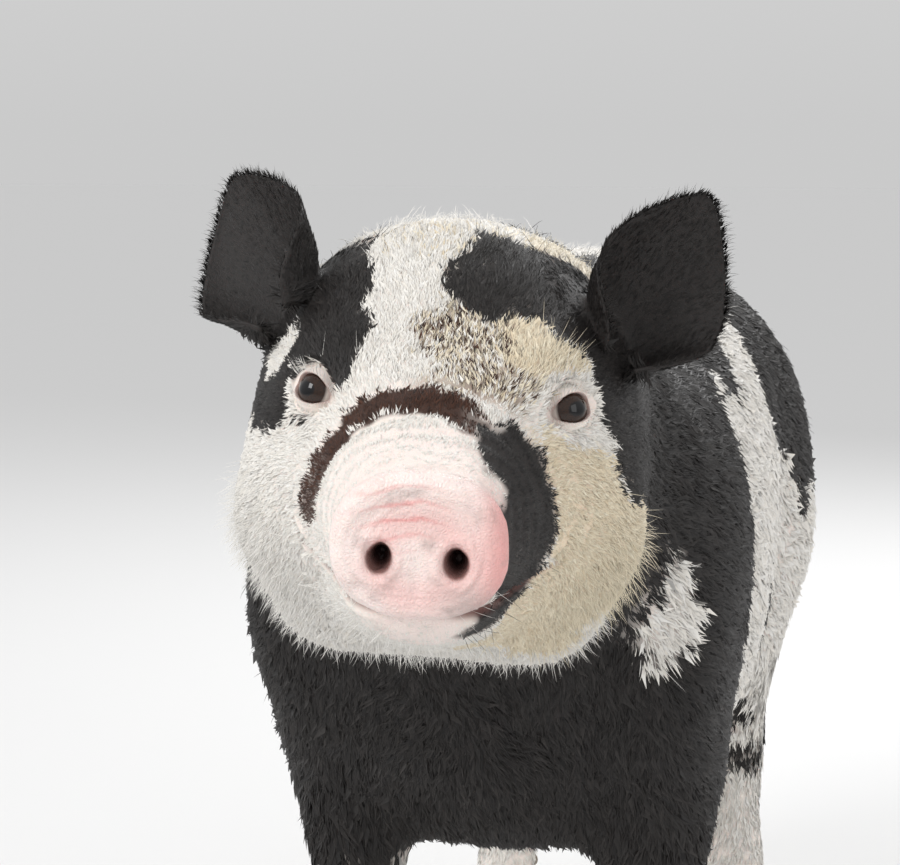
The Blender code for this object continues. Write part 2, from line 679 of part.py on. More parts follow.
def dewclaw(name, side_of_foot, heel, collection):
    """A small horn cone behind the fetlock that points down and back."""
    bm = bmesh.new()
    bmesh.ops.create_cone(bm, cap_ends=True, segments=8, radius1=0.0105, radius2=0.0045, depth=0.030)
    lean = Matrix.Rotation(math.radians(142), 4, "X") @ Matrix.Rotation(math.radians(-14 * side_of_foot), 4, "Y")
    place = Matrix.Translation(heel + Vector((side_of_foot * 0.0155, 0.027, -0.006))) @ lean
    bmesh.ops.transform(bm, matrix=place, verts=bm.verts)
    return add_object(name, mesh_of(name, bm), collection)


def leg_place(table, side, step, height):
    """The middle of a leg at a height."""
    rows = smooth_rows(table, 400)
    _, sideways, along, _, _ = rows[np.argmin(abs(rows[:, 0] - height))]
    return Vector((side * sideways, along + step * max(0.0, 1 - height / STEP_FROM), height))


def cut_places():
    """(centre, direction, radius) of every thin cut, and where each piece of flesh lies."""
    cuts, nodes = [], {}
    head_back = head_direction(0, 1, 0)
    cuts.append((head_point(0, 0.062, 0), head_back, 0.085))
    nodes["snout"] = head_point(0, 0.03, 0)
    nodes["head"] = head_point(0, 0.20, 0)
    cuts.append((head_point(0, 0.305, 0.0), head_back + Vector((0.05, 0.05, 0.08)), 0.25))
    nodes["neck"] = Vector((0.0, -0.34, 0.54))
    cuts.append((Vector((0, -0.2975, 0.52)), Vector((0, 1, -0.297)), 0.27))
    nodes["shoulders"] = Vector((0, -0.17, 0.47))
    cuts.append((Vector((0, -0.085, 0.50)), Vector((0, 1, 0)), 0.30))
    nodes["belly"] = Vector((0, 0.06, 0.47))
    cuts.append((Vector((0, 0.200, 0.50)), Vector((0, 1, 0)), 0.30))
    nodes["hindquarters"] = Vector((0, 0.36, 0.48))
    for side, hand in ((1, "left"), (-1, "right")):
        for table, name, knee, top, lean, reach in LEG_CUTS:
            step = STEPS[f"{name}_{hand}"]
            slant = Vector((-side * math.sin(lean[0]), -math.sin(lean[1]), math.cos(lean[0])))
            cuts.append((leg_place(table, side, step, top), slant, reach))
            cuts.append((leg_place(table, side, step, knee), Vector((0, 0, 1)), KNEE_REACH))
            nodes[f"{name}leg_{hand}_upper"] = leg_place(table, side, step, (top + knee) / 2)
            nodes[f"{name}leg_{hand}_lower"] = leg_place(table, side, step, knee / 2)
    return cuts, nodes


def part_flesh(body, collection, helpers):
    """Cuts the flesh into its nodes, each named after the place that it holds."""
    cuts, nodes = cut_places()
    cutters = [disc("cut", centre, Vector(normal), radius, helpers) for centre, normal, radius in cuts]
    combine(body, cutters, "DIFFERENCE")
    made = {}
    for part in shells(body):
        if part.calc_volume() < 1e-6:
            part.free()
            continue
        middle = sum((v.co for v in part.verts), Vector()) / len(part.verts)
        name = min(nodes, key=lambda n: (nodes[n] - middle).length)
        mesh = bpy.data.meshes.new(name)
        part.to_mesh(mesh)
        part.free()
        made[name] = add_object(name, mesh, collection)
    assert set(made) == set(nodes), set(nodes) - set(made)


def rest_on_floor(objects):
    """Puts the middle of the model's box over the origin."""
    corners = np.array([tuple(v.co) for obj in objects for v in obj.data.vertices])
    low, high = corners.min(0), corners.max(0)
    shift = Vector((-(low[0] + high[0]) / 2, -(low[1] + high[1]) / 2, 0))
    for obj in objects:
        obj.data.transform(Matrix.Translation(shift))


def finish_of(name):
    if name.startswith("eye"):
        return "eye"
    if "claw" in name:
        return "claw"
    if name == "snout":
        return "snout_skin"
    return "dark_coat" if name.startswith(("ear", "neck")) else "coat"


clear_scene()
pig = bpy.data.collections.new("pig")
cutters = bpy.data.collections.new("cutters")
for group in (pig, cutters):
    bpy.context.scene.collection.children.link(group)

body = flesh(cutters)
face = bmesh.new()
face.from_mesh(body.data)
skin_tree = BVHTree.FromBMesh(face)
face.free()
add_face_details(body, skin_tree, cutters)
grown = []
for side, hand in ((1, "left"), (-1, "right")):
    grown.append(ear(side, hand, pig))
    for table, name in ((FORELEG, "fore"), (HINDLEG, "hind")):
        step = STEPS[f"{name}_{hand}"]
        foot = leg_place(table, side, step, 0.0)
        foot.z = 0.0
        foot.y -= CLAW_AHEAD
        heel = leg_place(table, side, step, 0.066)
        for half, which in ((side, "outer"), (-side, "inner")):
            grown.append(claw(f"claw_{name}_{hand}_{which}", half, foot, pig))
            grown.append(dewclaw(f"dewclaw_{name}_{hand}_{which}", half, heel, pig))
tail = tube("tail", *tail_line(), pig, sides=2)
grown.append(tail)
for piece in grown:
    clear_of(piece, body)
part_tail(tail, pig, cutters)
for side, hand in ((1, "left"), (-1, "right")):
    eyeball(skin_tree, side, hand, pig)
part_flesh(body, pig, cutters)
bpy.data.objects.remove(body)
rest_on_floor(list(pig.objects))
for obj in pig.objects:
    obj.data.materials.clear()
    obj.data.materials.append(material(finish_of(obj.name)))
    obj.data.shade_smooth()
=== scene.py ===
import math

import bmesh
import bpy
import numpy as np
from mathutils import Matrix, Vector, kdtree
from mathutils.bvhtree import BVHTree


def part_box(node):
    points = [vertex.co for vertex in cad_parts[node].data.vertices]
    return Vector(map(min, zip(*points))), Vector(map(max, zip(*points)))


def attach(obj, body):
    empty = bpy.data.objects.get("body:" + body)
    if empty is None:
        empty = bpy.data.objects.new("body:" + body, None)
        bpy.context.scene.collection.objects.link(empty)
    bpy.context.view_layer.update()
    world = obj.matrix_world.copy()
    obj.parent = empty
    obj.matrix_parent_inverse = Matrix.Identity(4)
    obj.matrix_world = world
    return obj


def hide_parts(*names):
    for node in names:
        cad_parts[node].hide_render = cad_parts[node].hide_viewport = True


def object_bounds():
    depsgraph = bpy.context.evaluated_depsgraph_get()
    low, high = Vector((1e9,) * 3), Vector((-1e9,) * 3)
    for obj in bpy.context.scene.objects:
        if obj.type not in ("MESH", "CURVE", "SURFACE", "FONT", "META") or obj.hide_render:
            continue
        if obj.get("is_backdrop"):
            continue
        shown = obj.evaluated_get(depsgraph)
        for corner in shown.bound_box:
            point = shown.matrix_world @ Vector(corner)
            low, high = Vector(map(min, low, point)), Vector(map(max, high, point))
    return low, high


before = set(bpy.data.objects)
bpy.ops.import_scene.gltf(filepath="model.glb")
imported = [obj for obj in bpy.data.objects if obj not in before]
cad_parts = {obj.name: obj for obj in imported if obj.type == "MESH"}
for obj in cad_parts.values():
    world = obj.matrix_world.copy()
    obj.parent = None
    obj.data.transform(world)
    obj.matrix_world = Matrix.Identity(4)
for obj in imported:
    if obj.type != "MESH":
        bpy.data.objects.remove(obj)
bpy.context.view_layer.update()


# The head's own frame. The pig holds its head a little turned, raised and tipped to its right, so the
# parts of the face are placed along x to its left, y back from the middle of the snout disc and z up the
# face. It is found from the two eyes, which have fixed places in it.
HEAD_TURN = (
    Matrix.Rotation(math.radians(8.5), 4, "Z")
    @ Matrix.Rotation(math.radians(4.0), 4, "X")
    @ Matrix.Rotation(math.radians(4.0), 4, "Y")
)
eye_middle = {side: sum(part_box(f"eye_{side}"), Vector()) / 2 for side in ("left", "right")}
EYES_FROM_DISC = Vector((0, 0.1528, 0.0552))
disc_middle = (eye_middle["left"] + eye_middle["right"]) / 2 - HEAD_TURN @ EYES_FROM_DISC
HEAD = Matrix.Translation(disc_middle) @ HEAD_TURN
HEAD_AXES = np.array(HEAD_TURN.to_3x3())
SIDES = ((1, "left"), (-1, "right"))


def in_head(points):
    """Rows of places in the row frame as rows in the head's frame."""
    return (points - np.array(disc_middle)) @ HEAD_AXES


def head_direction(x, y, z):
    return (HEAD_TURN.to_3x3() @ Vector((x, y, z))).normalized()


# Skin. The hide of the whole pig is one piece, drawn tight over the trunk and loose on jowls and neck.
# It is fused from the flesh nodes with the eye sockets closed, its facets are smoothed away, and it lies
# inside the flesh by the depth of the coat.
def link(name, mesh):
    made = bpy.data.objects.new(name, mesh)
    bpy.context.scene.collection.objects.link(made)
    return made


def evaluated(obj):
    """The mesh that an object's modifiers make."""
    graph = bpy.context.evaluated_depsgraph_get()
    return bpy.data.meshes.new_from_object(obj.evaluated_get(graph))


def places(mesh):
    found = np.empty(len(mesh.vertices) * 3)
    mesh.vertices.foreach_get("co", found)
    return found.reshape(-1, 3)


def put(mesh, points):
    mesh.vertices.foreach_set("co", points.ravel())
    mesh.update()


def edge_ends(mesh):
    found = np.empty(len(mesh.edges) * 2, int)
    mesh.edges.foreach_get("vertices", found)
    return found.reshape(-1, 2)


def outward(mesh):
    """Normals of the vertices as rows."""
    found = np.empty(len(mesh.vertices) * 3, np.float32)
    mesh.vertex_normals.foreach_get("vector", found)
    return found.reshape(-1, 3).astype(float)


def relaxed(points, ends, share, rounds):
    """Every point drawn towards the mean of its neighbours, by a share of its own."""
    count = np.bincount(ends.ravel(), minlength=len(points))[:, None]
    near, far = ends[:, 0], ends[:, 1]
    for _ in range(rounds):
        total = np.column_stack([
            np.bincount(near, points[far, k], len(points)) + np.bincount(far, points[near, k], len(points))
            for k in range(3)
        ])
        points = points + share[:, None] * (total / count - points)
    return points


def soft_step(value, low, high):
    t = np.clip((value - low) / (high - low), 0, 1)
    return t * t * (3 - 2 * t)


def as_mesh(name, bm):
    mesh = bpy.data.meshes.new(name)
    bm.to_mesh(mesh)
    bm.free()
    return mesh


SAME_PLACE = 0.00002
SKIN_VOXEL, SKIN_SWELL = 0.003, 0.0004


def fused(name, nodes, voxel, swell=0.0):
    """The CAD nodes made one closed mesh. Swelling them first closes the gaps between them."""
    bm = bmesh.new()
    for node in nodes:
        bm.from_mesh(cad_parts[node].data)
    bmesh.ops.remove_doubles(bm, verts=bm.verts, dist=SAME_PLACE)
    bm.normal_update()
    for vert in bm.verts:
        vert.co += vert.normal * swell
    made = link(name, as_mesh(name, bm))
    fuse = made.modifiers.new("fuse", "REMESH")
    fuse.mode = "VOXEL"
    fuse.voxel_size = voxel
    made.data = evaluated(made)
    made.modifiers.clear()
    return made


flesh_nodes = [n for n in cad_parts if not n.startswith(("ear", "eye", "claw", "dewclaw"))]
skin = fused("skin", flesh_nodes + ["eye_left", "eye_right"], SKIN_VOXEL, SKIN_SWELL)


def head_share(h, near, far):
    """1 on the face, 0 on the neck, by the distance behind the snout disc."""
    return np.clip((far - h[:, 1]) / (far - near), 0, 1)


points = places(skin.data)
ends = edge_ends(skin.data)
h = in_head(points)
face = head_share(h, 0.20, 0.30)
feet = np.clip((0.30 - points[:, 2]) / 0.10, 0, 1) * (1 - face)
tail = soft_step(points[:, 1], 0.600, 0.615)
calm = 0.6 * (1 - np.maximum(face, np.maximum(0.86 * feet, 0.97 * tail)))
points = relaxed(points, ends, calm, 70)
snout = head_share(h, 0.070, 0.100)
points = relaxed(points, ends, 0.5 * face * (1 - 0.75 * snout), 12)
points = relaxed(points, ends, np.full(len(points), 0.4), 2)
put(skin.data, points)
inset = 0.0022 - 0.0014 * face - 0.0006 * snout
inset = np.where(tail > 0.5, 0.0006, inset)
points = points - outward(skin.data) * inset[:, None]
put(skin.data, points)


# Finer skin. The face carries folds of a few millimetres, so its faces are halved there, and halved again
# round the eyes and the nostrils, before anything is shaped.
EYE_RADIUS = 0.0145
eyes = {}
for side, hand in SIDES:
    ahead = head_direction(side * 0.58, -0.76, 0.28)
    up = head_direction(0, 0, 1)
    up = (up - ahead * up.dot(ahead)).normalized()
    tilt = Matrix.Rotation(side * math.radians(10), 3, ahead)
    eyes[hand] = (eye_middle[hand], tilt @ (up.cross(ahead) * side), tilt @ up, ahead)
NOSTRILS = [(side * 0.0215, 0.002, -0.007) for side, _ in SIDES]
bm = bmesh.new()
bm.from_mesh(skin.data)


def refine(bm, wanted):
    """Halves the edges of the faces whose middle is wanted."""
    bm.faces.ensure_lookup_table()
    middles = np.array([tuple(f.calc_center_median()) for f in bm.faces])
    chosen = wanted(middles)
    edges = {e for f, take in zip(bm.faces, chosen.tolist()) if take for e in f.edges}
    bmesh.ops.subdivide_edges(bm, edges=list(edges), cuts=1, use_grid_fill=True)


def near_detail(middles):
    found = np.zeros(len(middles), bool)
    for centre, *_ in eyes.values():
        found |= np.linalg.norm(middles - np.array(centre), axis=1) < 0.027
    for place in NOSTRILS:
        found |= np.linalg.norm(in_head(middles) - np.array(place), axis=1) < 0.015
    return found


refine(bm, lambda middles: in_head(middles)[:, 1] < 0.178)
refine(bm, near_detail)
bmesh.ops.triangulate(bm, faces=[f for f in bm.faces if len(f.verts) > 4])
bm.to_mesh(skin.data)
bm.free()
points = places(skin.data)
ends = edge_ends(skin.data)
h = in_head(points)
points = relaxed(points, ends, 0.5 * head_share(h, 0.180, 0.200), 3)
put(skin.data, points)


# Face. Gristle stiffens the snout disc and its rim, and the skin behind it lies in rings and folds that
# end in lips and lids. All of it is raised or sunk along the normals of the one skin.
def ripple(points, size, seed, waves=10):
    """A smooth irregular value of about -1 to 1 at every place, whose humps are about this far apart."""
    dice = np.random.default_rng(seed)
    way = dice.normal(size=(waves, 3))
    way *= (math.tau / size * dice.uniform(0.6, 1.4, waves) / np.linalg.norm(way, axis=1))[:, None]
    return np.cos(points @ way.T + dice.uniform(0, math.tau, waves)).sum(1) / math.sqrt(waves)


def hump(value, middle, width):
    return np.exp(-(((value - middle) / width) ** 2))


# Its height on the side of the face, by the distance behind the disc, up to the corner
MOUTH = ((0.030, -0.043), (0.060, -0.042), (0.085, -0.040), (0.102, -0.036), (0.114, -0.029),
         (0.122, -0.020))


def mouth_height(y):
    return np.interp(y, *zip(*MOUTH))


def mouth_reach(y):
    """1 along the mouth, 0 on the disc and behind the corner."""
    return soft_step(y, 0.022, 0.032) * (1 - soft_step(y, 0.116, 0.124))


h = in_head(points)
x, y, z = abs(h[:, 0]), h[:, 1], h[:, 2]
above = soft_step(z, -0.01, 0.03)
warp = ripple(h, 0.045, 3)
push = np.zeros(len(points))
# Rings of wrinkles over the top and sides of the muzzle, just behind the disc
MUZZLE_RING = 0.0135
muzzle = soft_step(y, 0.016, 0.024) * (1 - soft_step(y, 0.070, 0.095)) * soft_step(z, -0.035, -0.005)
push += 0.00055 * muzzle * np.cos(math.tau * (y + 0.0035 * warp) / MUZZLE_RING)
# Two grooves across the bridge of the nose and the swelling between them
for rise, middle, wander, width, ends_at in (
    (-0.0016, 0.092, 0.003, 0.0035, (0.060, 0.075)),
    (-0.0010, 0.112, 0.004, 0.0040, (0.030, 0.045)),
    (0.0012, 0.101, 0.003, 0.0050, (0.045, 0.060)),
):
    push += rise * hump(y + wander * warp, middle, width) * above * (1 - soft_step(x, *ends_at))
# Furrows of the cheek from under the eye to the corner of the mouth
sweep = y - 0.35 * (z + 0.01) + 0.004 * warp
cheek = hump(z, -0.012, 0.028) * soft_step(x, 0.045, 0.065)
for middle, depth in ((0.118, 0.0009), (0.136, 0.0006), (0.156, 0.0005)):
    push -= depth * hump(sweep, middle, 0.0050) * cheek
# The line of the mouth and the lips on both sides of it
line = mouth_height(y)
at_mouth = mouth_reach(y) * soft_step(x, 0.016, 0.030)
push -= 0.0038 * at_mouth * hump(z, line, 0.0022)
push += 0.0012 * at_mouth * (hump(z, line + 0.0065, 0.0035) + 0.8 * hump(z, line - 0.006, 0.0035))
# The snout disc: a rounded rim with a groove behind it, an arched furrow, a cleft below the nostrils, a
# hollow over them, a raised ring round each, and fine furrows
DISC_HALF_WIDTH, DISC_HALF_HEIGHT = 0.049, 0.041
front = 1 - soft_step(y, 0.006, 0.012)
out = np.hypot(x / DISC_HALF_WIDTH, z / DISC_HALF_HEIGHT)
push += 0.0016 * front * hump(out, 0.93, 0.14)
push += 0.0010 * hump(y, 0.008, 0.005) * soft_step(out, 0.80, 0.95)
push -= 0.0022 * hump(y + 0.0015 * warp, 0.0215, 0.0055) * soft_step(z, -0.034, -0.020)
push -= 0.0007 * front * hump(out + 0.05 * warp, 0.70, 0.05) * soft_step(z, -0.01, 0.01)
push -= 0.0013 * front * hump(x, 0, 0.0035) * hump(z, -0.018, 0.014)
push -= 0.0012 * front * hump(z, 0.014, 0.010) * (1 - soft_step(x, 0.020, 0.040))
for place in NOSTRILS:
    ring = np.hypot((h[:, 0] - place[0]) / 0.0084, (z - place[2]) / 0.0102)
    push += 0.0013 * front * hump(ring, 1.32, 0.28)
push += 0.00030 * front * np.cos(math.tau * (out + 0.06 * warp) / 0.12) * soft_step(out, 0.35, 0.6)
points = points + outward(skin.data) * push[:, None]

# Lids: the skin wraps the eyeball and leaves an almond open
LID_HALF, LID_UP, LID_DOWN = 0.0141, 0.0096, 0.0080   # of the opening: to its corners, up and down
LID_RISE = 0.0017                                      # of the lid's face over the ball


def in_eye(points, eye):
    """How far every place is along the slit of an eye, up across it, and ahead of the ball's middle."""
    centre, along, up, ahead = (np.array(part) for part in eye)
    away = points - centre
    return away @ along, away @ up, away @ ahead


for eye in eyes.values():
    a, b, depth = in_eye(points, eye)
    reach = np.hypot(a, b)
    near = (depth > -0.004) & (reach < 0.034)
    tall = np.where(b > 0, LID_UP, LID_DOWN) * (1 - 0.22 * np.clip(abs(a) / LID_HALF, 0, 1) ** 2)
    opening = np.sqrt((a / LID_HALF) ** 2 + (b / tall) ** 2)
    shell = np.sqrt(np.maximum((EYE_RADIUS + LID_RISE) ** 2 - np.minimum(reach, 0.0150) ** 2, 0))
    lid = shell + 0.0006 * hump(opening, 1.12, 0.10)
    own = np.where(near, depth, 0.0)
    new = lid + (own - lid) * soft_step(opening, 1.25, 2.1)
    # The fold over and under the lids, the brow, and the edge of the bag under the eye
    new -= 0.0017 * hump(opening, np.where(b > 0, 1.62, 1.70), 0.13) * soft_step(abs(b), 0.003, 0.009)
    new += 0.0014 * hump(opening, 1.95, 0.22) * soft_step(b, 0.0, 0.01)
    new -= 0.0009 * hump(opening, 2.15, 0.10) * soft_step(-b, 0.0, 0.01)
    # Inside the opening the skin lies within the ball
    hollow = np.minimum(new, 0.0020)
    new = hollow + (new - hollow) * soft_step(opening, 0.90, 1.02)
    points = points + np.where(near, new - depth, 0.0)[:, None] * np.array(eye[3])
put(skin.data, points)
points = relaxed(points, ends, 0.3 * near_detail(points), 2)
put(skin.data, points)

# Fewer triangles away from the face
SKIN_TRIANGLES = 166000
h = in_head(points)
keep = skin.vertex_groups.new(name="keep")
fine = np.where(h[:, 1] < 0.172, 1.0, np.interp(h[:, 1], (0.172, 0.25), (0.85, 0.30)))
fine = np.maximum(fine, np.where(points[:, 2] < 0.30, 0.35, 0.12))
fine = np.maximum(fine, np.where(points[:, 1] > 0.61, 0.6, 0.0))
for level in np.unique(np.round(fine, 2)).tolist():
    keep.add(np.flatnonzero(np.round(fine, 2) == level).tolist(), level, "REPLACE")
fewer = skin.modifiers.new("fewer", "DECIMATE")
skin.data.calc_loop_triangles()
fewer.ratio = SKIN_TRIANGLES / len(skin.data.loop_triangles)
fewer.vertex_group = keep.name
fewer.invert_vertex_group = True
fewer.vertex_group_factor = 0.001
skin.data = evaluated(skin)
skin.modifiers.clear()
skin.vertex_groups.clear()


# Ears. Each is a thin sheet of gristle under skin, rolled into a tube at its root and opening to a cup
# with a point. The sheets get a wall, are joined to the skin, and the joint is smoothed so that no seam
# shows.
EAR_LENGTH, EAR_WALL = 0.122, 0.0042
EAR_ROOT = (0.087, 0.250, 0.077)
EAR_LEAN = {"left": (30, 8), "right": (34, 33)}   # degrees out and back
EAR_TURN = 23                                     # degrees that the cup opens outwards
EAR_ROWS, EAR_COLUMNS = 46, 41
# Half the width of the sheet, and half its turn in degrees, by the share of the length
EAR_HALVES = ((0, 0.058), (0.12, 0.068), (0.30, 0.070), (0.50, 0.060), (0.70, 0.043), (0.86, 0.025),
              (0.96, 0.012), (1, 0.003))
EAR_ROLL = ((0, 152), (0.12, 130), (0.30, 84), (0.50, 56), (0.70, 42), (1, 24))


def ear_frame(side, hand):
    """Root of an ear to the row frame."""
    out, back = EAR_LEAN[hand]
    return (
        HEAD
        @ Matrix.Translation((side * EAR_ROOT[0], *EAR_ROOT[1:]))
        @ Matrix.Rotation(side * math.radians(out), 4, "Y")
        @ Matrix.Rotation(-math.radians(back), 4, "X")
        @ Matrix.Rotation(side * math.radians(EAR_TURN), 4, "Z")
        @ Matrix.Diagonal((side, 1, 1, 1))
    )


def ear_sheet():
    """Rows of places from the root to the tip of the middle of an ear's wall."""
    v = np.linspace(0, 1, EAR_ROWS)[:, None]
    u = np.linspace(-1, 1, EAR_COLUMNS)[None, :]
    half = np.interp(v, *zip(*EAR_HALVES))
    turn = np.radians(np.interp(v, *zip(*EAR_ROLL)))
    for _ in range(3):
        half[1:-1] = (half[:-2] + 2 * half[1:-1] + half[2:]) / 4
        turn[1:-1] = (turn[:-2] + 2 * turn[1:-1] + turn[2:]) / 4
    radius = half / turn
    sheet_x = radius * np.sin(u * turn) + 0.006 * v * v * (1 - v)
    sheet_y = -radius * (1 - np.cos(u * turn)) - 0.016 * v * v
    sheet_y += 0.0012 * np.cos(5.5 * u + 2 * v) * (1 - v) * v * 4
    sheet_z = EAR_LENGTH * v + 0.004 * abs(u) * (1 - v)
    return np.stack([sheet_x, sheet_y, sheet_z], axis=2)


def faced_out(mesh):
    bm = bmesh.new()
    bm.from_mesh(mesh)
    bmesh.ops.recalc_face_normals(bm, faces=bm.faces)
    bm.to_mesh(mesh)
    bm.free()


ear_parts = []
for side, hand in SIDES:
    bm = bmesh.new()
    grid = [[bm.verts.new(p) for p in row] for row in ear_sheet()]
    for low, high in zip(grid, grid[1:]):
        for k in range(EAR_COLUMNS - 1):
            bm.faces.new((low[k], low[k + 1], high[k + 1], high[k]))
    ear = link("ear", as_mesh("ear", bm))
    group = ear.vertex_groups.new(name="wall")
    for index in range(EAR_ROWS * EAR_COLUMNS):
        v = (index // EAR_COLUMNS) / (EAR_ROWS - 1)
        u = 2 * (index % EAR_COLUMNS) / (EAR_COLUMNS - 1) - 1
        group.add((index,), max(0.30, 1 - 0.45 * v - 0.45 * abs(u) ** 3), "REPLACE")
    wall = ear.modifiers.new("wall", "SOLIDIFY")
    wall.thickness = EAR_WALL
    wall.offset = 0.0
    wall.vertex_group = group.name
    mesh = evaluated(ear)
    mesh.transform(ear_frame(side, hand))
    faced_out(mesh)
    ear.modifiers.clear()
    ear.vertex_groups.clear()
    ear.data = mesh
    ear_parts.append(ear)

operands = bpy.data.collections.new("operands")
bpy.context.scene.collection.children.link(operands)
ear_points = []
for ear in ear_parts:
    ear_points.append(places(ear.data))
    bpy.context.scene.collection.objects.unlink(ear)
    operands.objects.link(ear)
ear_points = np.vstack(ear_points)
bare_points = places(skin.data)
join = skin.modifiers.new("join", "BOOLEAN")
join.operation = "UNION"
join.operand_type = "COLLECTION"
join.collection = operands
join.solver = "EXACT"
skin.data = evaluated(skin)
skin.modifiers.clear()
for ear in ear_parts:
    bpy.data.objects.remove(ear)
bpy.data.collections.remove(operands)


def nearest(points, others):
    """Distance from every point to the nearest of the others."""
    tree = kdtree.KDTree(len(others))
    for index, place in enumerate(others):
        tree.insert(place, index)
    tree.balance()
    return np.array([tree.find(p)[2] for p in points])


# The joint of ear and head is rounded
points = places(skin.data)
old = {tuple(p) for p in np.round(np.vstack([bare_points, ear_points]), 6).tolist()}
fresh = np.array([p not in old for p in map(tuple, np.round(points, 6).tolist())])
h = in_head(points)
around = np.flatnonzero((h[:, 1] > 0.17) & (h[:, 1] < 0.36) & (h[:, 2] > 0.02))
gap = np.full(len(points), 1.0)
gap[around] = nearest(points[around], points[fresh])
points = relaxed(points, edge_ends(skin.data), 0.55 * np.exp(-((gap / 0.009) ** 2)), 8)
put(skin.data, points)
skin.data.shade_smooth()
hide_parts(*flesh_nodes, "ear_left", "ear_right")
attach(skin, "root")


# Markings. The coat is piebald: white, with black, tan and brown patches that skin and hair share. Every
# patch is a ball with a ragged edge, given as its middle and its reach along the three axes, in the
# head's frame on the face and in the row's frame on trunk and legs.
BLACK_FACE = (
    ((-0.084, 0.205, 0.102), (0.036, 0.062, 0.044)),   # from the right ear down the forehead
    ((-0.072, 0.158, 0.080), (0.028, 0.036, 0.032)),   # over and beside the right eye
    ((-0.086, 0.142, 0.054), (0.014, 0.016, 0.016)),
    ((-0.108, 0.188, 0.046), (0.020, 0.040, 0.026)),   # streak below it
    ((-0.118, 0.228, 0.046), (0.022, 0.034, 0.024)),
    ((-0.110, 0.268, 0.062), (0.036, 0.034, 0.050)),
    ((0.029, 0.207, 0.118), (0.034, 0.046, 0.044)),    # left of the forehead's middle
    ((0.044, 0.082, 0.032), (0.028, 0.032, 0.026)),    # between the snout and the cheek stripe
    ((0.061, 0.087, -0.002), (0.020, 0.027, 0.032)),
    ((0.056, 0.078, -0.030), (0.018, 0.026, 0.020)),
    ((0.040, 0.060, -0.052), (0.022, 0.026, 0.013)),
    ((0.055, 0.048, 0.010), (0.014, 0.032, 0.038)),
    ((0.051, 0.048, -0.028), (0.014, 0.030, 0.020)),
    ((0.112, 0.196, 0.072), (0.030, 0.044, 0.046)),    # behind the left eye and down the neck
    ((0.104, 0.244, 0.094), (0.020, 0.040, 0.036)),
    ((0.118, 0.200, 0.020), (0.020, 0.038, 0.026)),
    ((0.135, 0.245, 0.045), (0.036, 0.068, 0.070)),
    ((0.138, 0.275, -0.050), (0.040, 0.075, 0.085)),
)
WHITE_FACE = (
    ((-0.104, 0.216, 0.068), (0.018, 0.023, 0.018)),   # gap in the black under the right ear
)
BRINDLE = (
    ((0.012, 0.156, 0.094), (0.036, 0.034, 0.026)),    # mixed hairs below the forehead's patch
    ((0.030, 0.124, 0.076), (0.040, 0.020, 0.018)),
    ((0.074, 0.214, 0.118), (0.024, 0.050, 0.034)),    # and between it and the left ear
)
TAN_FACE = (
    ((0.066, 0.225, 0.124), (0.032, 0.070, 0.040)),    # under the left ear
    ((0.056, 0.158, 0.094), (0.030, 0.036, 0.026)),    # brow of the left eye
    ((0.075, 0.112, 0.024), (0.022, 0.030, 0.030)),    # stripe down the left cheek
    ((0.088, 0.134, 0.000), (0.032, 0.040, 0.042)),
    ((0.104, 0.172, -0.034), (0.036, 0.062, 0.058)),
    ((0.072, 0.120, -0.066), (0.040, 0.052, 0.038)),
    ((0.046, 0.110, -0.086), (0.026, 0.040, 0.016)),
    ((0.078, 0.145, -0.096), (0.044, 0.062, 0.030)),
)
CREAM_TOP = ((0.010, 0.260, 0.150), (0.075, 0.070, 0.040))
WHITE_POLL = ((-0.015, 0.270, 0.130), (0.050, 0.060, 0.060))
EYE_RINGS = {"left": 0.0228, "right": 0.0186}          # radius of the pale ring round each eye
BLACK_BODY = (
    ((0.000, -0.290, 0.520), (0.450, 0.165, 0.360)),   # neck and chest
    ((0.040, -0.080, 0.680), (0.150, 0.230, 0.110)),   # withers
    ((0.140, -0.190, 0.320), (0.090, 0.075, 0.120)),
    ((0.150, 0.300, 0.610), (0.110, 0.120, 0.100)),    # left hip
    ((0.160, 0.390, 0.530), (0.080, 0.090, 0.080)),
    ((-0.160, 0.080, 0.560), (0.090, 0.120, 0.090)),   # right side
    ((-0.170, 0.180, 0.480), (0.080, 0.080, 0.110)),
    ((-0.120, 0.430, 0.600), (0.090, 0.110, 0.090)),
    ((0.165, 0.130, 0.370), (0.050, 0.060, 0.050)),
    ((-0.150, -0.170, 0.350), (0.080, 0.080, 0.150)),
    ((0.110, 0.420, 0.200), (0.060, 0.060, 0.070)),
    ((0.020, 0.640, 0.480), (0.080, 0.060, 0.060)),    # end of the tail
)
WHITE_BODY = (
    ((0.150, -0.294, 0.474), (0.040, 0.018, 0.042)),   # patch low on the left of the neck
)
# The brown band over the muzzle, from cheek to cheek
BAND = ((-0.073, 0.101, -0.002), (-0.065, 0.101, 0.026), (-0.052, 0.105, 0.046), (-0.031, 0.101, 0.061),
        (-0.009, 0.101, 0.066), (0.007, 0.096, 0.064), (0.021, 0.087, 0.056))


def inside(points, patches, soft, ragged, bay=0.030):
    """How far every place lies in the patches, from 0 to 1 over a soft edge. ragged is how far the edge
    wanders, and bay the size of its bays."""
    wander = np.column_stack([
        ripple(points, bay, 11 + k) + 0.4 * ripple(points, bay / 3, 17 + k) for k in range(3)
    ])
    moved = points + ragged * wander
    found = np.zeros(len(points))
    for middle, reach in patches:
        away = np.linalg.norm((moved - np.array(middle)) / np.array(reach), axis=1)
        found = np.maximum(found, np.clip(0.5 + (1 - away) * min(reach) / soft, 0, 1))
    return found


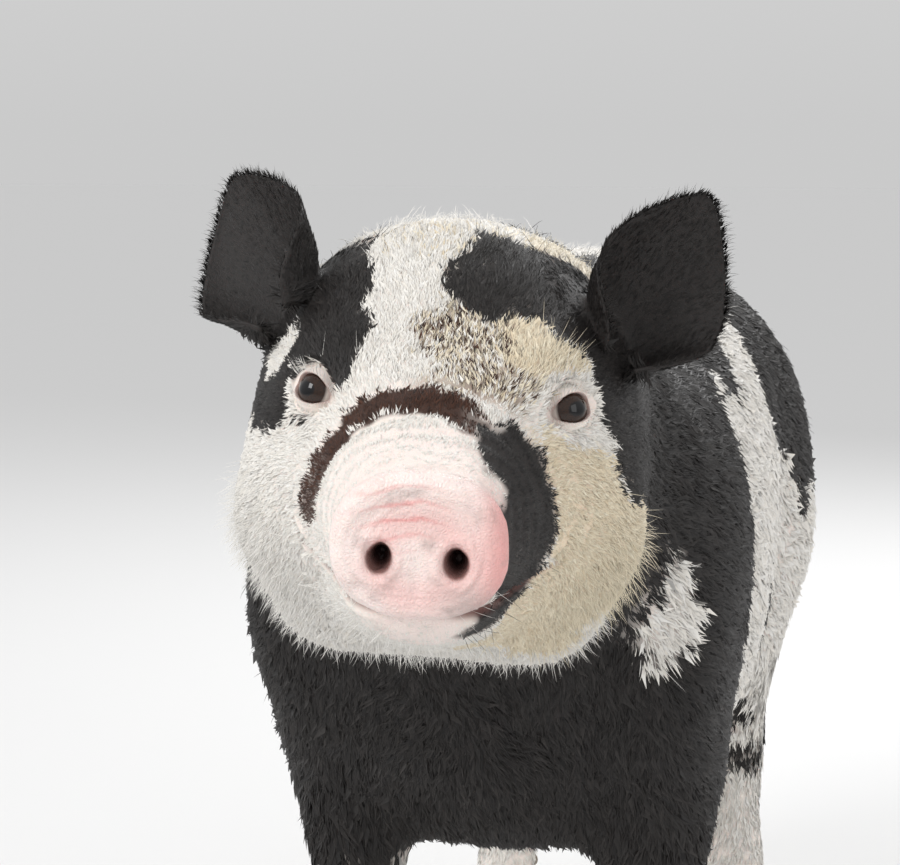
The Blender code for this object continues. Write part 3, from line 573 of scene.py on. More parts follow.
def path_distance(points, path):
    """Distance to a line of places."""
    found = np.full(len(points), np.inf)
    for start, end in zip(np.array(path), np.array(path[1:])):
        way = end - start
        t = np.clip((points - start) @ way / (way @ way), 0, 1)
        found = np.minimum(found, np.linalg.norm(points - start - t[:, None] * way, axis=1))
    return found


def ear_share(points):
    """1 on the ears: places beyond their roots, away from the head."""
    found = np.zeros(len(points))
    for side, hand in SIDES:
        into = np.array(ear_frame(side, hand).inverted())
        own = points @ into[:3, :3].T + into[:3, 3]
        near = (abs(own[:, 0]) < 0.064) & (own[:, 1] > -0.075) & (own[:, 1] < 0.02)
        near &= own[:, 2] < EAR_LENGTH + 0.03
        found = np.maximum(found, near * soft_step(own[:, 2], -0.014, 0.000))
    return found


def marks(points, soft=0.006):
    """Shares of black, tan, pink and of the brown band at every place."""
    h = in_head(points)
    x, y, z = h.T
    on_head = 1 - soft_step(y, 0.31, 0.35)
    black = inside(h, BLACK_FACE, soft, 0.0030) * on_head * (1 - inside(h, WHITE_FACE, soft, 0.0020))
    body = inside(points, BLACK_BODY, 1.6 * soft, 0.018, 0.110)
    body *= 1 - inside(points, WHITE_BODY, 1.6 * soft, 0.005)
    body *= soft_step(points[:, 2], 0.150, 0.200) * soft_step(y, 0.265, 0.325)
    body *= 1 - inside(h, (WHITE_POLL,), 0.01, 0.004)
    black = np.maximum(np.maximum(black, body), ear_share(points))
    brindle = inside(h, BRINDLE, 0.016, 0.005)
    black = np.maximum(black, 0.40 * brindle)
    ring = np.zeros(len(points))
    for hand, reach in EYE_RINGS.items():
        away = np.linalg.norm(points - np.array(eye_middle[hand]), axis=1)
        ring = np.maximum(ring, 1 - soft_step(away, reach - 0.001, reach + 0.0015))
    black *= 1 - ring
    tan = np.maximum(inside(h, TAN_FACE, 0.010, 0.004), 0.40 * inside(h, (CREAM_TOP,), 0.03, 0.008))
    tan = np.maximum(tan, 0.62 * brindle) * (1 - black * soft_step(black, 0.45, 0.55)) * (1 - ring)
    away = path_distance(h, BAND) + 0.0012 * ripple(h, 0.012, 31)
    along = soft_step(x, -0.074, -0.060) * (1 - soft_step(x, 0.012, 0.022))
    band = (1 - soft_step(away, 0.0100, 0.0135)) * (0.8 + 0.2 * along) * (1 - soft_step(black, 0.5, 0.7))
    band = np.maximum(band, 0.42 * brindle * (1 - ring) * (1 - soft_step(black, 0.45, 0.70)))
    ahead = y + 0.002 * ripple(h, 0.02, 41)
    pink = 1 - 0.45 * soft_step(ahead, 0.020, 0.036) - 0.55 * soft_step(ahead, 0.070, 0.088)
    aside = abs(x) - 0.05 * soft_step(z, -0.03, 0.02)
    pink *= 1 - soft_step(aside, 0.018, 0.036) * soft_step(ahead, 0.016, 0.030)
    pink = np.clip(pink, 0, 1) * (1 - black * soft_step(y, 0.012, 0.022))
    return {"black": black, "tan": tan, "pink": pink, "band": band}


def store(mesh, name, values):
    """A value for every vertex, which materials read by its name."""
    made = mesh.attributes.new(name, "FLOAT", "POINT")
    made.data.foreach_set("value", np.asarray(values, np.float32))


points = places(skin.data)
for name, values in marks(points).items():
    store(skin.data, name, values)
h = in_head(points)
x, y, z = h.T
# Painted shade in the creases: along the line of the mouth, over the openings of the nostrils and where
# the lids meet the ball
crease = hump(z, mouth_height(y), 0.0028) * mouth_reach(y)
deep = np.zeros(len(points))
for place in NOSTRILS:
    ring = np.hypot((x - place[0]) / 0.0078, (z - place[2]) / 0.0096)
    in_nose = 1 - soft_step(y, 0.02, 0.03)
    crease = np.maximum(crease, (1 - soft_step(ring, 0.84, 1.06)) * in_nose)
    # Painted shade: the inside of each nostril is darkened almost to black
    deep = np.maximum(deep, (1 - soft_step(ring, 0.35, 0.90)) * in_nose)
rim = np.zeros(len(points))
for eye in eyes.values():
    a, b, depth = in_eye(points, eye)
    opening = np.hypot(a / LID_HALF, b / np.where(b > 0, LID_UP, LID_DOWN))
    rim = np.maximum(rim, (1 - soft_step(opening, 1.12, 1.45)) * (depth > -0.005))
    crease = np.maximum(crease, 0.75 * (1 - soft_step(opening, 1.00, 1.10)) * (depth > 0))
store(skin.data, "crease", crease)
store(skin.data, "deep", deep)
store(skin.data, "rim", rim)
on_disc = 1 - soft_step(y, 0.030, 0.055)
# Deeper pink on the disc: painted shade along its rim on the pig's left, real pink round the nostrils, and
# pink furrow strokes
pink_and_shade = 0.9 * hump(x, 0.048, 0.015) + 0.45 * hump(np.hypot(x, z + 0.006), 0.022, 0.012)
furrow = np.cos(math.tau * (z + 0.25 * abs(x) + 0.0012 * ripple(h, 0.02, 43)) / 0.0092)
strokes = soft_step(furrow, 0.45, 0.95) * hump(x, -0.012, 0.020) * hump(z, 0.022, 0.018)
# Painted shade: the disc is greyed low on the pig's left, its shaded side
disc_shade = hump(x, 0.030, 0.016) * hump(z, -0.030, 0.012)
store(skin.data, "pink_and_shade", np.clip(on_disc * (pink_and_shade + 0.75 * strokes), 0, 1))
store(skin.data, "disc_shade", np.clip(on_disc * disc_shade, 0, 1))


def new_group(name, inputs, outputs):
    """An empty shader group with its sockets: (name, kind) pairs."""
    tree = bpy.data.node_groups.new(name, "ShaderNodeTree")
    for label, kind in inputs:
        tree.interface.new_socket(label, in_out="INPUT", socket_type="NodeSocket" + kind)
    for label, kind in outputs:
        tree.interface.new_socket(label, in_out="OUTPUT", socket_type="NodeSocket" + kind)
    return tree, tree.nodes.new("NodeGroupInput"), tree.nodes.new("NodeGroupOutput")


def attribute(tree, name):
    node = tree.nodes.new("ShaderNodeAttribute")
    node.attribute_name = name
    return node.outputs["Fac"]


def ranged(tree, value, **ends):
    """A value carried to another range, whose ends are named with underscores for spaces."""
    node = tree.nodes.new("ShaderNodeMapRange")
    for label, end in ends.items():
        node.inputs[label.replace("_", " ")].default_value = end
    tree.links.new(value, node.inputs["Value"])
    return node.outputs["Result"]


def feed(tree, socket, value):
    """Joins a socket to another one, or gives it a plain value."""
    if isinstance(value, bpy.types.NodeSocket):
        tree.links.new(value, socket)
    else:
        socket.default_value = value


def mixed(tree, share, first, second):
    """A colour between two."""
    node = tree.nodes.new("ShaderNodeMix")
    node.data_type = "RGBA"
    node.clamp_factor = True
    for index, value in ((0, share), (6, first), (7, second)):
        feed(tree, node.inputs[index], value)
    return node.outputs[2]


def sums(tree, kind, first, second):
    node = tree.nodes.new("ShaderNodeMath")
    node.operation = kind
    for socket, value in zip(node.inputs, (first, second)):
        feed(tree, socket, value)
    return node.outputs[0]


def noise(tree, scale, detail=3.0, stretch=(1, 1, 1), rough=0.55):
    """The value of a noise on Object coordinates."""
    where = tree.nodes.new("ShaderNodeTexCoord")
    turn = tree.nodes.new("ShaderNodeMapping")
    turn.inputs["Scale"].default_value = stretch
    made = tree.nodes.new("ShaderNodeTexNoise")
    made.inputs["Scale"].default_value = scale
    made.inputs["Detail"].default_value = detail
    made.inputs["Roughness"].default_value = rough
    tree.links.new(where.outputs["Object"], turn.inputs["Vector"])
    tree.links.new(turn.outputs["Vector"], made.inputs["Vector"])
    return made.outputs["Fac"]


# The colour of the hair from the markings, for skin and coat alike
WHITE_HAIR, CREAM_HAIR = (0.94, 0.92, 0.88, 1), (0.86, 0.81, 0.73, 1)
BLACK_HAIR, GREY_HAIR = (0.009, 0.008, 0.008, 1), (0.030, 0.026, 0.024, 1)
TAN_HAIR, DEEP_TAN_HAIR = (0.92, 0.84, 0.66, 1), (0.74, 0.60, 0.41, 1)
BAND_HAIR, BAND_EDGE = (0.018, 0.008, 0.005, 1), (0.085, 0.032, 0.017, 1)
coat_colour, source, result = new_group("coat_colour", (("Shade", "Float"),), (("Color", "Color"),))
shade = source.outputs["Shade"]
white = mixed(coat_colour, shade, CREAM_HAIR, WHITE_HAIR)
tan = mixed(coat_colour, shade, DEEP_TAN_HAIR, TAN_HAIR)
black = mixed(coat_colour, shade, BLACK_HAIR, GREY_HAIR)
brown = mixed(coat_colour, shade, BAND_HAIR, BAND_EDGE)
colour = mixed(coat_colour, attribute(coat_colour, "tan"), white, tan)
colour = mixed(coat_colour, attribute(coat_colour, "black"), colour, black)
colour = mixed(coat_colour, attribute(coat_colour, "band"), colour, brown)
coat_colour.links.new(colour, result.inputs["Color"])


def grouped(tree, group, **values):
    """A shader group placed in a tree."""
    node = tree.nodes.new("ShaderNodeGroup")
    node.node_tree = group
    for name, value in values.items():
        feed(tree, node.inputs[name], value)
    return node.outputs[0]


def new_finish(name, **values):
    """A material, its tree and its shader, with plain values for sockets whose spaces are underscores."""
    made = bpy.data.materials.new(name)
    made.use_nodes = True
    shader = made.node_tree.nodes["Principled BSDF"]
    for label, value in values.items():
        shader.inputs[label.replace("_", " ")].default_value = value
    return made, made.node_tree, shader


def roughen(tree, shader, height, strength, distance):
    """Bumps the surface by a height of 0 to 1 over this distance."""
    bump = tree.nodes.new("ShaderNodeBump")
    bump.inputs["Strength"].default_value = strength
    bump.inputs["Distance"].default_value = distance
    tree.links.new(height, bump.inputs["Height"])
    tree.links.new(bump.outputs["Normal"], shader.inputs["Normal"])


# Skin that carries the short flat hair as colour and bump, and is bare and moist on the snout
SKIN_PINK, SKIN_DARK = (0.70, 0.43, 0.36, 1), (0.034, 0.026, 0.024, 1)
SNOUT_PINK, SNOUT_PALE, SNOUT_GREY = (0.86, 0.67, 0.62, 1), (0.93, 0.84, 0.80, 1), (0.36, 0.28, 0.26, 1)
SNOUT_PINK_AND_SHADE, LID_PALE = (0.78, 0.37, 0.35, 1), (0.82, 0.72, 0.66, 1)
NOSTRIL_SHADE, SHADE_IN_CREASES = (0.016, 0.006, 0.006, 1), (0.19, 0.080, 0.068, 1)
HIDE_ROUGHNESS, SNOUT_ROUGHNESS = 0.62, 0.33
finish, tree, shader = new_finish(
    "pig_skin", Subsurface_Weight=0.12, Subsurface_Radius=(0.010, 0.004, 0.003), Subsurface_Scale=0.4,
    Specular_IOR_Level=0.35,
)
fleck = noise(tree, 260.0, 4.0)
blotch = noise(tree, 38.0, 3.0)
hair = grouped(tree, coat_colour, Shade=fleck)
dark = sums(tree, "MAXIMUM", attribute(tree, "black"), attribute(tree, "band"))
bare = mixed(tree, dark, SKIN_PINK, SKIN_DARK)
under = mixed(tree, sums(tree, "MULTIPLY", blotch, 0.40), hair, bare)
disc_colour = mixed(tree, sums(tree, "MULTIPLY", blotch, 1.1), SNOUT_PINK, SNOUT_PALE)
smudge = ranged(tree, noise(tree, 52.0, 5.0), From_Min=0.54, From_Max=0.74)
# Deeper pink: painted shade on the rim of the pig's left, and real pink round the nostrils and in the
# strokes
disc_colour = mixed(tree, attribute(tree, "pink_and_shade"), disc_colour, SNOUT_PINK_AND_SHADE)
# Grey on the disc: random dirt from the noise, plus the painted shade low on the pig's left
grime_and_shade = sums(tree, "MULTIPLY", sums(tree, "ADD", smudge, attribute(tree, "disc_shade")), 0.55)
disc_colour = mixed(tree, grime_and_shade, disc_colour, SNOUT_GREY)
colour = mixed(tree, attribute(tree, "pink"), under, disc_colour)
colour = mixed(tree, sums(tree, "MULTIPLY", attribute(tree, "rim"), 0.85), colour, LID_PALE)
# Painted shade in the creases of mouth, nostrils and lids
colour = mixed(tree, sums(tree, "MULTIPLY", attribute(tree, "crease"), 0.85), colour, SHADE_IN_CREASES)
# Painted shade inside the nostrils
colour = mixed(tree, attribute(tree, "deep"), colour, NOSTRIL_SHADE)
tree.links.new(colour, shader.inputs["Base Color"])
rough = tree.nodes.new("ShaderNodeMix")
rough.inputs[2].default_value = HIDE_ROUGHNESS
rough.inputs[3].default_value = SNOUT_ROUGHNESS
tree.links.new(attribute(tree, "pink"), rough.inputs[0])
tree.links.new(rough.outputs[0], shader.inputs["Roughness"])
pores = tree.nodes.new("ShaderNodeTexVoronoi")
pores.feature = "DISTANCE_TO_EDGE"
pores.inputs["Scale"].default_value = 420.0
where = tree.nodes.new("ShaderNodeTexCoord")
tree.links.new(where.outputs["Object"], pores.inputs["Vector"])
fine_strands = noise(tree, 1.0, 2.0, (1300, 190, 1300))
strands = sums(tree, "ADD", fine_strands, noise(tree, 1.0, 2.0, (520, 70, 520)))
relief = tree.nodes.new("ShaderNodeMix")
tree.links.new(attribute(tree, "pink"), relief.inputs[0])
tree.links.new(sums(tree, "MULTIPLY", strands, 0.8), relief.inputs[2])
pitted = sums(tree, "MULTIPLY", pores.outputs["Distance"], 2.6)
tree.links.new(sums(tree, "ADD", pitted, noise(tree, 170.0, 4.0)), relief.inputs[3])
roughen(tree, shader, relief.outputs[0], 0.45, 0.0011)
skin.data.materials.clear()
skin.data.materials.append(finish)
skin.data.polygons.foreach_set("material_index", np.zeros(len(skin.data.polygons), int))


# Eyes. Each is a wet ball of dark brown iris with a wide pupil, set in the opening of the lids. The rings
# of colour lie round the axis along which the eye looks.
IRIS_ANGLE = 50.0        # degrees from the gaze to the edge of the iris
PUPIL_STRETCH = 1.35     # how much wider than tall the pupil is
IRIS_DARK, IRIS_BROWN = (0.010, 0.005, 0.003, 1), (0.038, 0.016, 0.008, 1)
PUPIL_BLACK, EYE_WHITE = (0.002, 0.002, 0.003, 1), (0.62, 0.55, 0.50, 1)
finish, tree, shader = new_finish("pig_eye", Roughness=0.04, Specular_IOR_Level=0.42)
iris = mixed(tree, noise(tree, 700.0, 2.0), IRIS_DARK, IRIS_BROWN)
ball_colour = mixed(tree, attribute(tree, "pupil"), iris, PUPIL_BLACK)
ball_colour = mixed(tree, attribute(tree, "white"), ball_colour, EYE_WHITE)
tree.links.new(ball_colour, shader.inputs["Base Color"])
for side, hand in SIDES:
    centre, along, up, ahead = eyes[hand]
    bm = bmesh.new()
    bmesh.ops.create_uvsphere(bm, u_segments=72, v_segments=48, radius=1.0)
    mesh = as_mesh("eye_" + hand, bm)
    ball = places(mesh)
    gaze = np.degrees(np.arccos(np.clip(ball[:, 2], -1, 1)))
    round_pupil = np.hypot(ball[:, 0] / PUPIL_STRETCH, ball[:, 1])
    axes = np.array((along, up, ahead))
    radius = EYE_RADIUS + 0.0007 * (1 - soft_step(gaze, 12, 40))
    put(mesh, np.array(centre) + (ball * radius[:, None]) @ axes)
    faced_out(mesh)
    mesh.shade_smooth()
    store(mesh, "pupil", 1 - soft_step(round_pupil, 0.27, 0.33) + (ball[:, 2] < 0))
    store(mesh, "white", soft_step(gaze, IRIS_ANGLE, IRIS_ANGLE + 5))
    mesh.materials.append(finish)
    eye = link("ball_" + hand, mesh)
    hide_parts("eye_" + hand)
    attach(eye, "root")


# Claws and dewclaws. Each toe ends in a shoe of horn that grows down from the skin and wears flat on the
# ground. They are rounded from their solids and ringed with growth lines.
HORN_DARK, HORN_PALE = (0.075, 0.055, 0.040, 1), (0.30, 0.235, 0.165, 1)
finish, tree, shader = new_finish("claw_horn", Roughness=0.42)
rings = noise(tree, 1.0, 3.0, (60, 60, 700))
tree.links.new(mixed(tree, rings, HORN_DARK, HORN_PALE), shader.inputs["Base Color"])
roughen(tree, shader, rings, 0.5, 0.0006)
CLAW_VOXEL = 0.0016
DEWCLAW_FOOT = (0.043, 0.048)     # height over which the blunting of the dewclaws sets in
DEWCLAW_DROOP = 0.013
claw_nodes = [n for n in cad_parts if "claw" in n]
claws = fused("claws", claw_nodes, CLAW_VOXEL)
points = places(claws.data)
ends = edge_ends(claws.data)
soft = relaxed(points, ends, np.full(len(points), 0.5), 6)
soft = relaxed(soft, ends, 0.5 * soft_step(points[:, 2], *DEWCLAW_FOOT), 22)
for name in claw_nodes:
    if name.startswith("dewclaw"):
        low, high = (np.array(corner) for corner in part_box(name))
        mine = ((points > low - 0.003) & (points < high + 0.003)).all(1)
        share = np.clip((soft[mine, 1] - low[1]) / (high[1] - low[1]), 0, 1)
        soft[mine, 2] -= DEWCLAW_DROOP * share**1.6
sole = points[:, 2] < CLAW_VOXEL
soft[sole, 2] = np.maximum(points[sole, 2], 0.0)
put(claws.data, soft)
claws.data.shade_smooth()
claws.data.materials.clear()
claws.data.materials.append(finish)
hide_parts(*claw_nodes)
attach(claws, "root")


# Coat. Short stiff hair lies flat over the whole pig and thins out on the muzzle. It grows in tufts of
# three hairs, each a closed solid of four faces that is rooted in the skin, bends along the lie of the
# coat and takes the colour of the skin at its root.
TUFTS, HAIRS = 113000, 3                 # of the whole coat, and in each tuft
PIECE_TUFTS = 16600                      # at most in one piece
PATCH = 0.003                            # side of a tuft's patch on the unwrap
LEG_TOP = 0.27                           # height under which the coat is that of the legs
TAIL_ROOT = disc_middle + Vector((-0.0420, 1.2362, -0.0221))
TAIL_LENGTH, TAIL_STRAIGHT = 0.27, 0.045   # along the tail, and of its root before it curls
TAIL_TURNS, TAIL_CURL = 1.15, (0.029, 0.023)   # of the curl, and its radius at both ends


def tail_line(count=60):
    """Places along the middle of the tail."""
    found = []
    for share in np.linspace(0, 1, count):
        along = TAIL_LENGTH * share
        straight = min(along, TAIL_STRAIGHT)
        curled = max(0.0, along - TAIL_STRAIGHT) / (TAIL_LENGTH - TAIL_STRAIGHT)
        turn = math.tau * TAIL_TURNS * curled
        curl = TAIL_CURL[0] + (TAIL_CURL[1] - TAIL_CURL[0]) * share
        found.append(TAIL_ROOT + Vector((
            0.030 * turn / math.tau + 0.006 * math.sin(turn),
            straight * 0.9 + curl * math.sin(turn),
            0.35 * straight - curl * (1 - math.cos(turn)),
        )))
    return np.array(found)


def unit(rows):
    return rows / np.maximum(np.linalg.norm(rows, axis=1), 1e-9)[:, None]


skin.data.calc_loop_triangles()
tris = np.array([tuple(t.vertices) for t in skin.data.loop_triangles])
skin_points, skin_normals = places(skin.data), outward(skin.data)
corner = skin_points[tris]
area = np.linalg.norm(np.cross(corner[:, 1] - corner[:, 0], corner[:, 2] - corner[:, 0]), axis=1) / 2
middle = corner.mean(1)
to_ears = [np.array(ear_frame(side, hand).inverted()) for side, hand in SIDES]
legs = []
for side, hand in SIDES:
    for name in ("fore", "hind"):
        low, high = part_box(f"{name}leg_{hand}_lower")
        legs.append(tuple((low + high) / 2))
legs = np.array(legs)
tail_places = tail_line()
tail_tree = kdtree.KDTree(len(tail_places))
for index, place in enumerate(tail_places):
    tail_tree.insert(place, index)
tail_tree.balance()


def ear_places(points):
    """Which ear every place belongs to (0 left, 1 right), and the place in that ear's own frame."""
    which = (in_head(points)[:, 0] < 0).astype(int)
    own = np.empty_like(points)
    for index, into in enumerate(to_ears):
        own[which == index] = points[which == index] @ into[:3, :3].T + into[:3, 3]
    return which, own


def scatter(crowd, count, seed):
    """Roots spread over the skin's triangles, as crowded as crowd says, with the skin's normals there."""
    dice = np.random.default_rng(seed)
    pull = np.cumsum(area * crowd)
    pick = np.searchsorted(pull, (np.arange(count) + dice.random(count)) / count * pull[-1])
    pick = np.minimum(pick, len(tris) - 1)
    s, t = dice.random((2, count))
    fold = s + t > 1
    s, t = np.where(fold, 1 - s, s), np.where(fold, 1 - t, t)
    shares = np.column_stack([1 - s - t, s, t])[:, :, None]
    return (corner[pick] * shares).sum(1), unit((skin_normals[tris[pick]] * shares).sum(1))


def regions(root):
    """0 head, 1 trunk, 2 legs, 3 ears and 4 tail for every root, and the nearest place of the tail."""
    tail_at = np.full(len(root), -1)
    for k in np.flatnonzero(root[:, 1] > 0.585):
        _, index, gap = tail_tree.find(root[k])
        if gap < 0.017:
            tail_at[k] = index
    found = np.where(in_head(root)[:, 1] < 0.300, 0, 1)
    found = np.where(root[:, 2] < LEG_TOP, 2, found)
    found = np.where((ear_share(root) > 0.5) & (ear_places(root)[1][:, 2] > 0.011), 3, found)
    return np.where(tail_at >= 0, 4, found), tail_at


def coat_lie(root, normal, region, tail_at, unrest, seed):
    """The way the hair lies: back over face and trunk, down the cheeks, flanks and legs, out to the tips
    of the ears and the tail, and away from the eyes."""
    h = in_head(root)
    none = np.zeros(len(root))
    side_down = soft_step(abs(h[:, 0]), 0.03, 0.10) * soft_step(-h[:, 2], -0.09, 0.02)
    on_head = unit(np.column_stack([none, none + 0.9, -0.55 * side_down]) @ HEAD_AXES.T)
    rump = soft_step(root[:, 1], 0.44, 0.60)
    flank = soft_step(abs(root[:, 0]), 0.05, 0.16)
    trunk = unit(np.column_stack([none, 1 - 0.8 * rump, -0.45 * flank - 1.1 * rump]))
    neck = 0.6 * (1 - soft_step(h[:, 1], 0.30, 0.40))[:, None]
    trunk = trunk * (1 - neck) + on_head * neck
    to_leg = 0.75 * soft_step(-root[:, 2], -0.36, -0.27)[:, None]
    trunk = trunk * (1 - to_leg) + np.array((0, 0.1, -1.0)) * to_leg
    lie = np.where((region == 1)[:, None], trunk, on_head)
    lie = np.where((region == 2)[:, None], np.array((0.0, 0.22, -1.0)), lie)
    which, own = ear_places(root)
    for index, into in enumerate(to_ears):
        mine = (region == 3) & (which == index)
        spread = np.column_stack([own[mine, 0] / 0.10, none[mine] - 0.10, none[mine] + 1])
        lie[mine] = spread @ np.linalg.inv(into[:3, :3]).T
    along_tail = np.gradient(tail_places, axis=0)
    lie = np.where((region == 4)[:, None], along_tail[np.maximum(tail_at, 0)], lie)
    for centre, *_ in eyes.values():
        away = root - np.array(centre)
        gap = np.linalg.norm(away, axis=1)
        lie = unit(lie) + 1.3 * np.exp(-((gap / 0.024) ** 2))[:, None] * unit(away)
    swirl = np.column_stack([
        ripple(root, 0.050, 61 + k) + 0.5 * ripple(root, 0.014, 71 + k) for k in range(3)
    ])
    dice = np.random.default_rng(seed)
    lie = unit(lie) + 0.13 * swirl + dice.normal(size=(len(root), 3)) * unrest
    return unit(lie - normal * (lie * normal).sum(1)[:, None])


def charts(root, normal, region, tail_at):
    """Every root's place on the unwrap: head and trunk round their own axes, one chart for each leg and
    for each face of the ears, and one for the tail. A piece's charts lie within 0 to 1 once ranged."""
    x, y, z = in_head(root).T
    round_head = np.arctan2(x, z + 0.015)
    round_trunk = np.arctan2(root[:, 0], root[:, 2] - 0.46)
    u = np.where(region == 1, round_trunk, round_head)
    v = np.where(region == 1, root[:, 1], y)
    leg = np.argmin(np.linalg.norm(root[:, None, :2] - legs[None, :, :2], axis=2), axis=1)
    angle = np.arctan2(root[:, 0] - legs[leg, 0], root[:, 1] - legs[leg, 1]) / math.tau + 0.5
    u = np.where(region == 2, (leg % 2) * 0.5 + 0.46 * angle, u)
    v = np.where(region == 2, (leg // 2) * 0.5 + 0.46 * root[:, 2] / LEG_TOP, v)
    which, own = ear_places(root)
    for index, into in enumerate(to_ears):
        mine = (region == 3) & (which == index)
        outer = (normal[mine] @ into[:3, :3].T)[:, 1] > 0
        u[mine] = index * 0.5 + 0.24 + own[mine, 0] * 3.2
        v[mine] = outer * 0.45 + 0.02 + own[mine, 2] * 3.2
    from_tail = root - tail_places[np.maximum(tail_at, 0)]
    angle = np.arctan2(from_tail[:, 0], from_tail[:, 2]) / math.tau + 0.5
    u = np.where(region == 4, 0.02 + 0.9 * tail_at / len(tail_places), u)
    return u, np.where(region == 4, 0.92 + 0.06 * angle, v)


def patches(u, v, ranges, corners):
    """A patch of the unwrap for every root, PATCH across, with the given corners. ranges is the lowest
    and highest u and v of the piece."""
    low, high = np.array(ranges).T
    place = (np.column_stack([u, v]) - low) / (high - low) * (1 - 2 * PATCH) + PATCH / 2
    return (place[:, None, :] + np.array(corners)[None] * PATCH).reshape(-1, 2)


# Thick on the head, thin on the muzzle, and none on the disc, the lids' edges and the line of the mouth
y = in_head(middle)[:, 1]
facing = unit(skin_normals[tris].mean(1))
crowd = 0.026 + 0.135 * (1 - soft_step(y, 0.22, 0.31))
crowd = crowd + 0.035 * (1 - soft_step(y, 0.36, 0.50))
crowd = np.where(middle[:, 2] < 0.30, 0.050, crowd)
crowd *= 0.15 + 0.85 * soft_step(y, 0.022, 0.075)
crowd *= y > 0.019
which, own = ear_places(middle)
inner_ear = np.zeros(len(middle))
for index, into in enumerate(to_ears):
    inner_ear[which == index] = soft_step(-(facing[which == index] @ into[:3, :3].T)[:, 1], 0.2, 0.6)
on_ear = (ear_share(middle) > 0.5) & (own[:, 2] > 0.011)
crowd = np.where(on_ear, 0.24 - 0.15 * inner_ear, crowd)
for name in ("rim", "crease"):
    values = np.empty(len(skin_points), np.float32)
    skin.data.attributes[name].data.foreach_get("value", values)
    crowd = np.where(values[tris].mean(1) > 0.35, 0, crowd)
crowd = np.where(middle[:, 2] < 0.045, 0.6 * crowd, crowd)

dice = np.random.default_rng(5)
root, normal = scatter(crowd, TUFTS, 5)
_, y, z = in_head(root).T
region, tail_at = regions(root)
lie = coat_lie(root, normal, region, tail_at, 0.07, 7)

# Length, width and lift of the hairs of each tuft
length = np.interp(y, (0.02, 0.07, 0.13, 0.20, 0.30), (0.0036, 0.0054, 0.0084, 0.0108, 0.0150))
length = np.where(region == 1, np.interp(y, (0.30, 0.42), (0.015, 0.025)), length)
length = np.where(region == 1, length * (1 + 0.35 * soft_step(root[:, 2], 0.62, 0.70)), length)
length = np.where(region == 2, np.interp(root[:, 2], (0.03, 0.10, 0.27), (0.009, 0.013, 0.020)), length)
length = np.where(region == 3, 0.0065, length)
length = np.where(region == 4, np.interp(tail_at, (0, 45, 59), (0.012, 0.014, 0.026)), length)
jowl = hump(y, 0.20, 0.07) * soft_step(-z, 0.05, 0.12) * (region == 0)
length *= 1 + 0.5 * jowl
width = np.interp(length, (0.0035, 0.009, 0.026), (0.00028, 0.00038, 0.00058))
lift = np.radians(np.interp(length, (0.0035, 0.006, 0.010, 0.026), (19, 14, 11, 9)))
lift *= dice.uniform(0.6, 1.5, TUFTS)
lift += np.radians(7) * jowl

colours = marks(root, 0.004)
grain = dice.normal(size=TUFTS) * 0.13
chart_u, chart_v = charts(root, normal, region, tail_at)


HAIR_MARKS = ("black", "tan", "band")


def hair_mesh(name, corners, faces, normals, finish):
    """A mesh of triangles with given normals at its corners, so that a coat of thin hairs shades
    softly."""
    mesh = bpy.data.meshes.new(name)
    mesh.vertices.add(len(corners))
    mesh.vertices.foreach_set("co", corners.ravel())
    mesh.loops.add(faces.size)
    mesh.loops.foreach_set("vertex_index", faces.ravel())
    mesh.polygons.add(len(faces))
    mesh.polygons.foreach_set("loop_start", np.arange(len(faces)) * 3)
    mesh.update(calc_edges=True)
    mesh.shade_smooth()
    mesh.normals_split_custom_set_from_vertices(unit(normals).tolist())
    mesh.materials.append(finish)
    return mesh


def coat_piece(name, mine, ranges):
    """One joined mesh of the tufts with these numbers. ranges is the lowest and highest u and v of its
    charts."""
    count = len(mine) * HAIRS
    of = np.repeat(mine, HAIRS)
    dice = np.random.default_rng(len(mine))
    out, way = normal[of], lie[of]
    fan = np.radians(dice.normal(size=count) * 9)[:, None]
    way = way * np.cos(fan) + np.cross(out, way) * np.sin(fan)
    across = np.cross(out, way)
    size = (length[of] * dice.uniform(0.7, 1.12, count))[:, None]
    half = (width[of] * dice.uniform(0.4, 0.6, count))[:, None]
    rise = (lift[of] * dice.uniform(0.8, 1.25, count))[:, None]
    aside = across * dice.normal(size=(count, 1)) + way * dice.normal(size=(count, 1))
    start = root[of] + aside * size * 0.10 - out * (0.0006 + 0.02 * size)
    droop = dice.normal(size=(count, 1)) * 0.06
    bent = start + way * size * 0.48 + out * size * (0.52 * np.sin(rise) + 0.030) + across * droop * size
    tip = start + way * size * 0.98 + out * size * 0.80 * np.sin(rise) - across * droop * size
    corners = np.stack([start, bent - across * half, bent + across * half, tip], axis=1).reshape(-1, 3)
    leaning = [0.85 * out + side * 0.45 * across for side in (-1, 1)]
    soft = np.stack([out, *leaning, out], axis=1).reshape(-1, 3)
    first = (np.arange(count) * 4)[:, None, None]
    faces = (first + np.array(((0, 1, 2), (1, 3, 2), (0, 3, 1), (0, 2, 3)))).reshape(-1, 3)
    mesh = hair_mesh(name, corners, faces, soft, coat_finish)
    for label in HAIR_MARKS:
        chance = colours[label][of] + np.clip(grain[of] + 0.10 * dice.normal(size=count), -0.36, 0.36)
        store(mesh, label, np.repeat(soft_step(chance, 0.42, 0.58), 4))
    store(mesh, "shade", np.repeat(np.clip(dice.normal(0.55, 0.25, count), 0, 1), 4))
    store(mesh, "tip", np.tile((0.0, 0.55, 0.55, 1.0), count))
    spots = patches(chart_u[of], chart_v[of], ranges, ((0, 0.5), (0.5, 0), (0.5, 1), (1, 0.5)))
    bake = mesh.uv_layers.new(name="OFBake")
    bake.data.foreach_set("uv", spots[faces.ravel()].ravel())
    made = link(name, mesh)
    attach(made, "root")


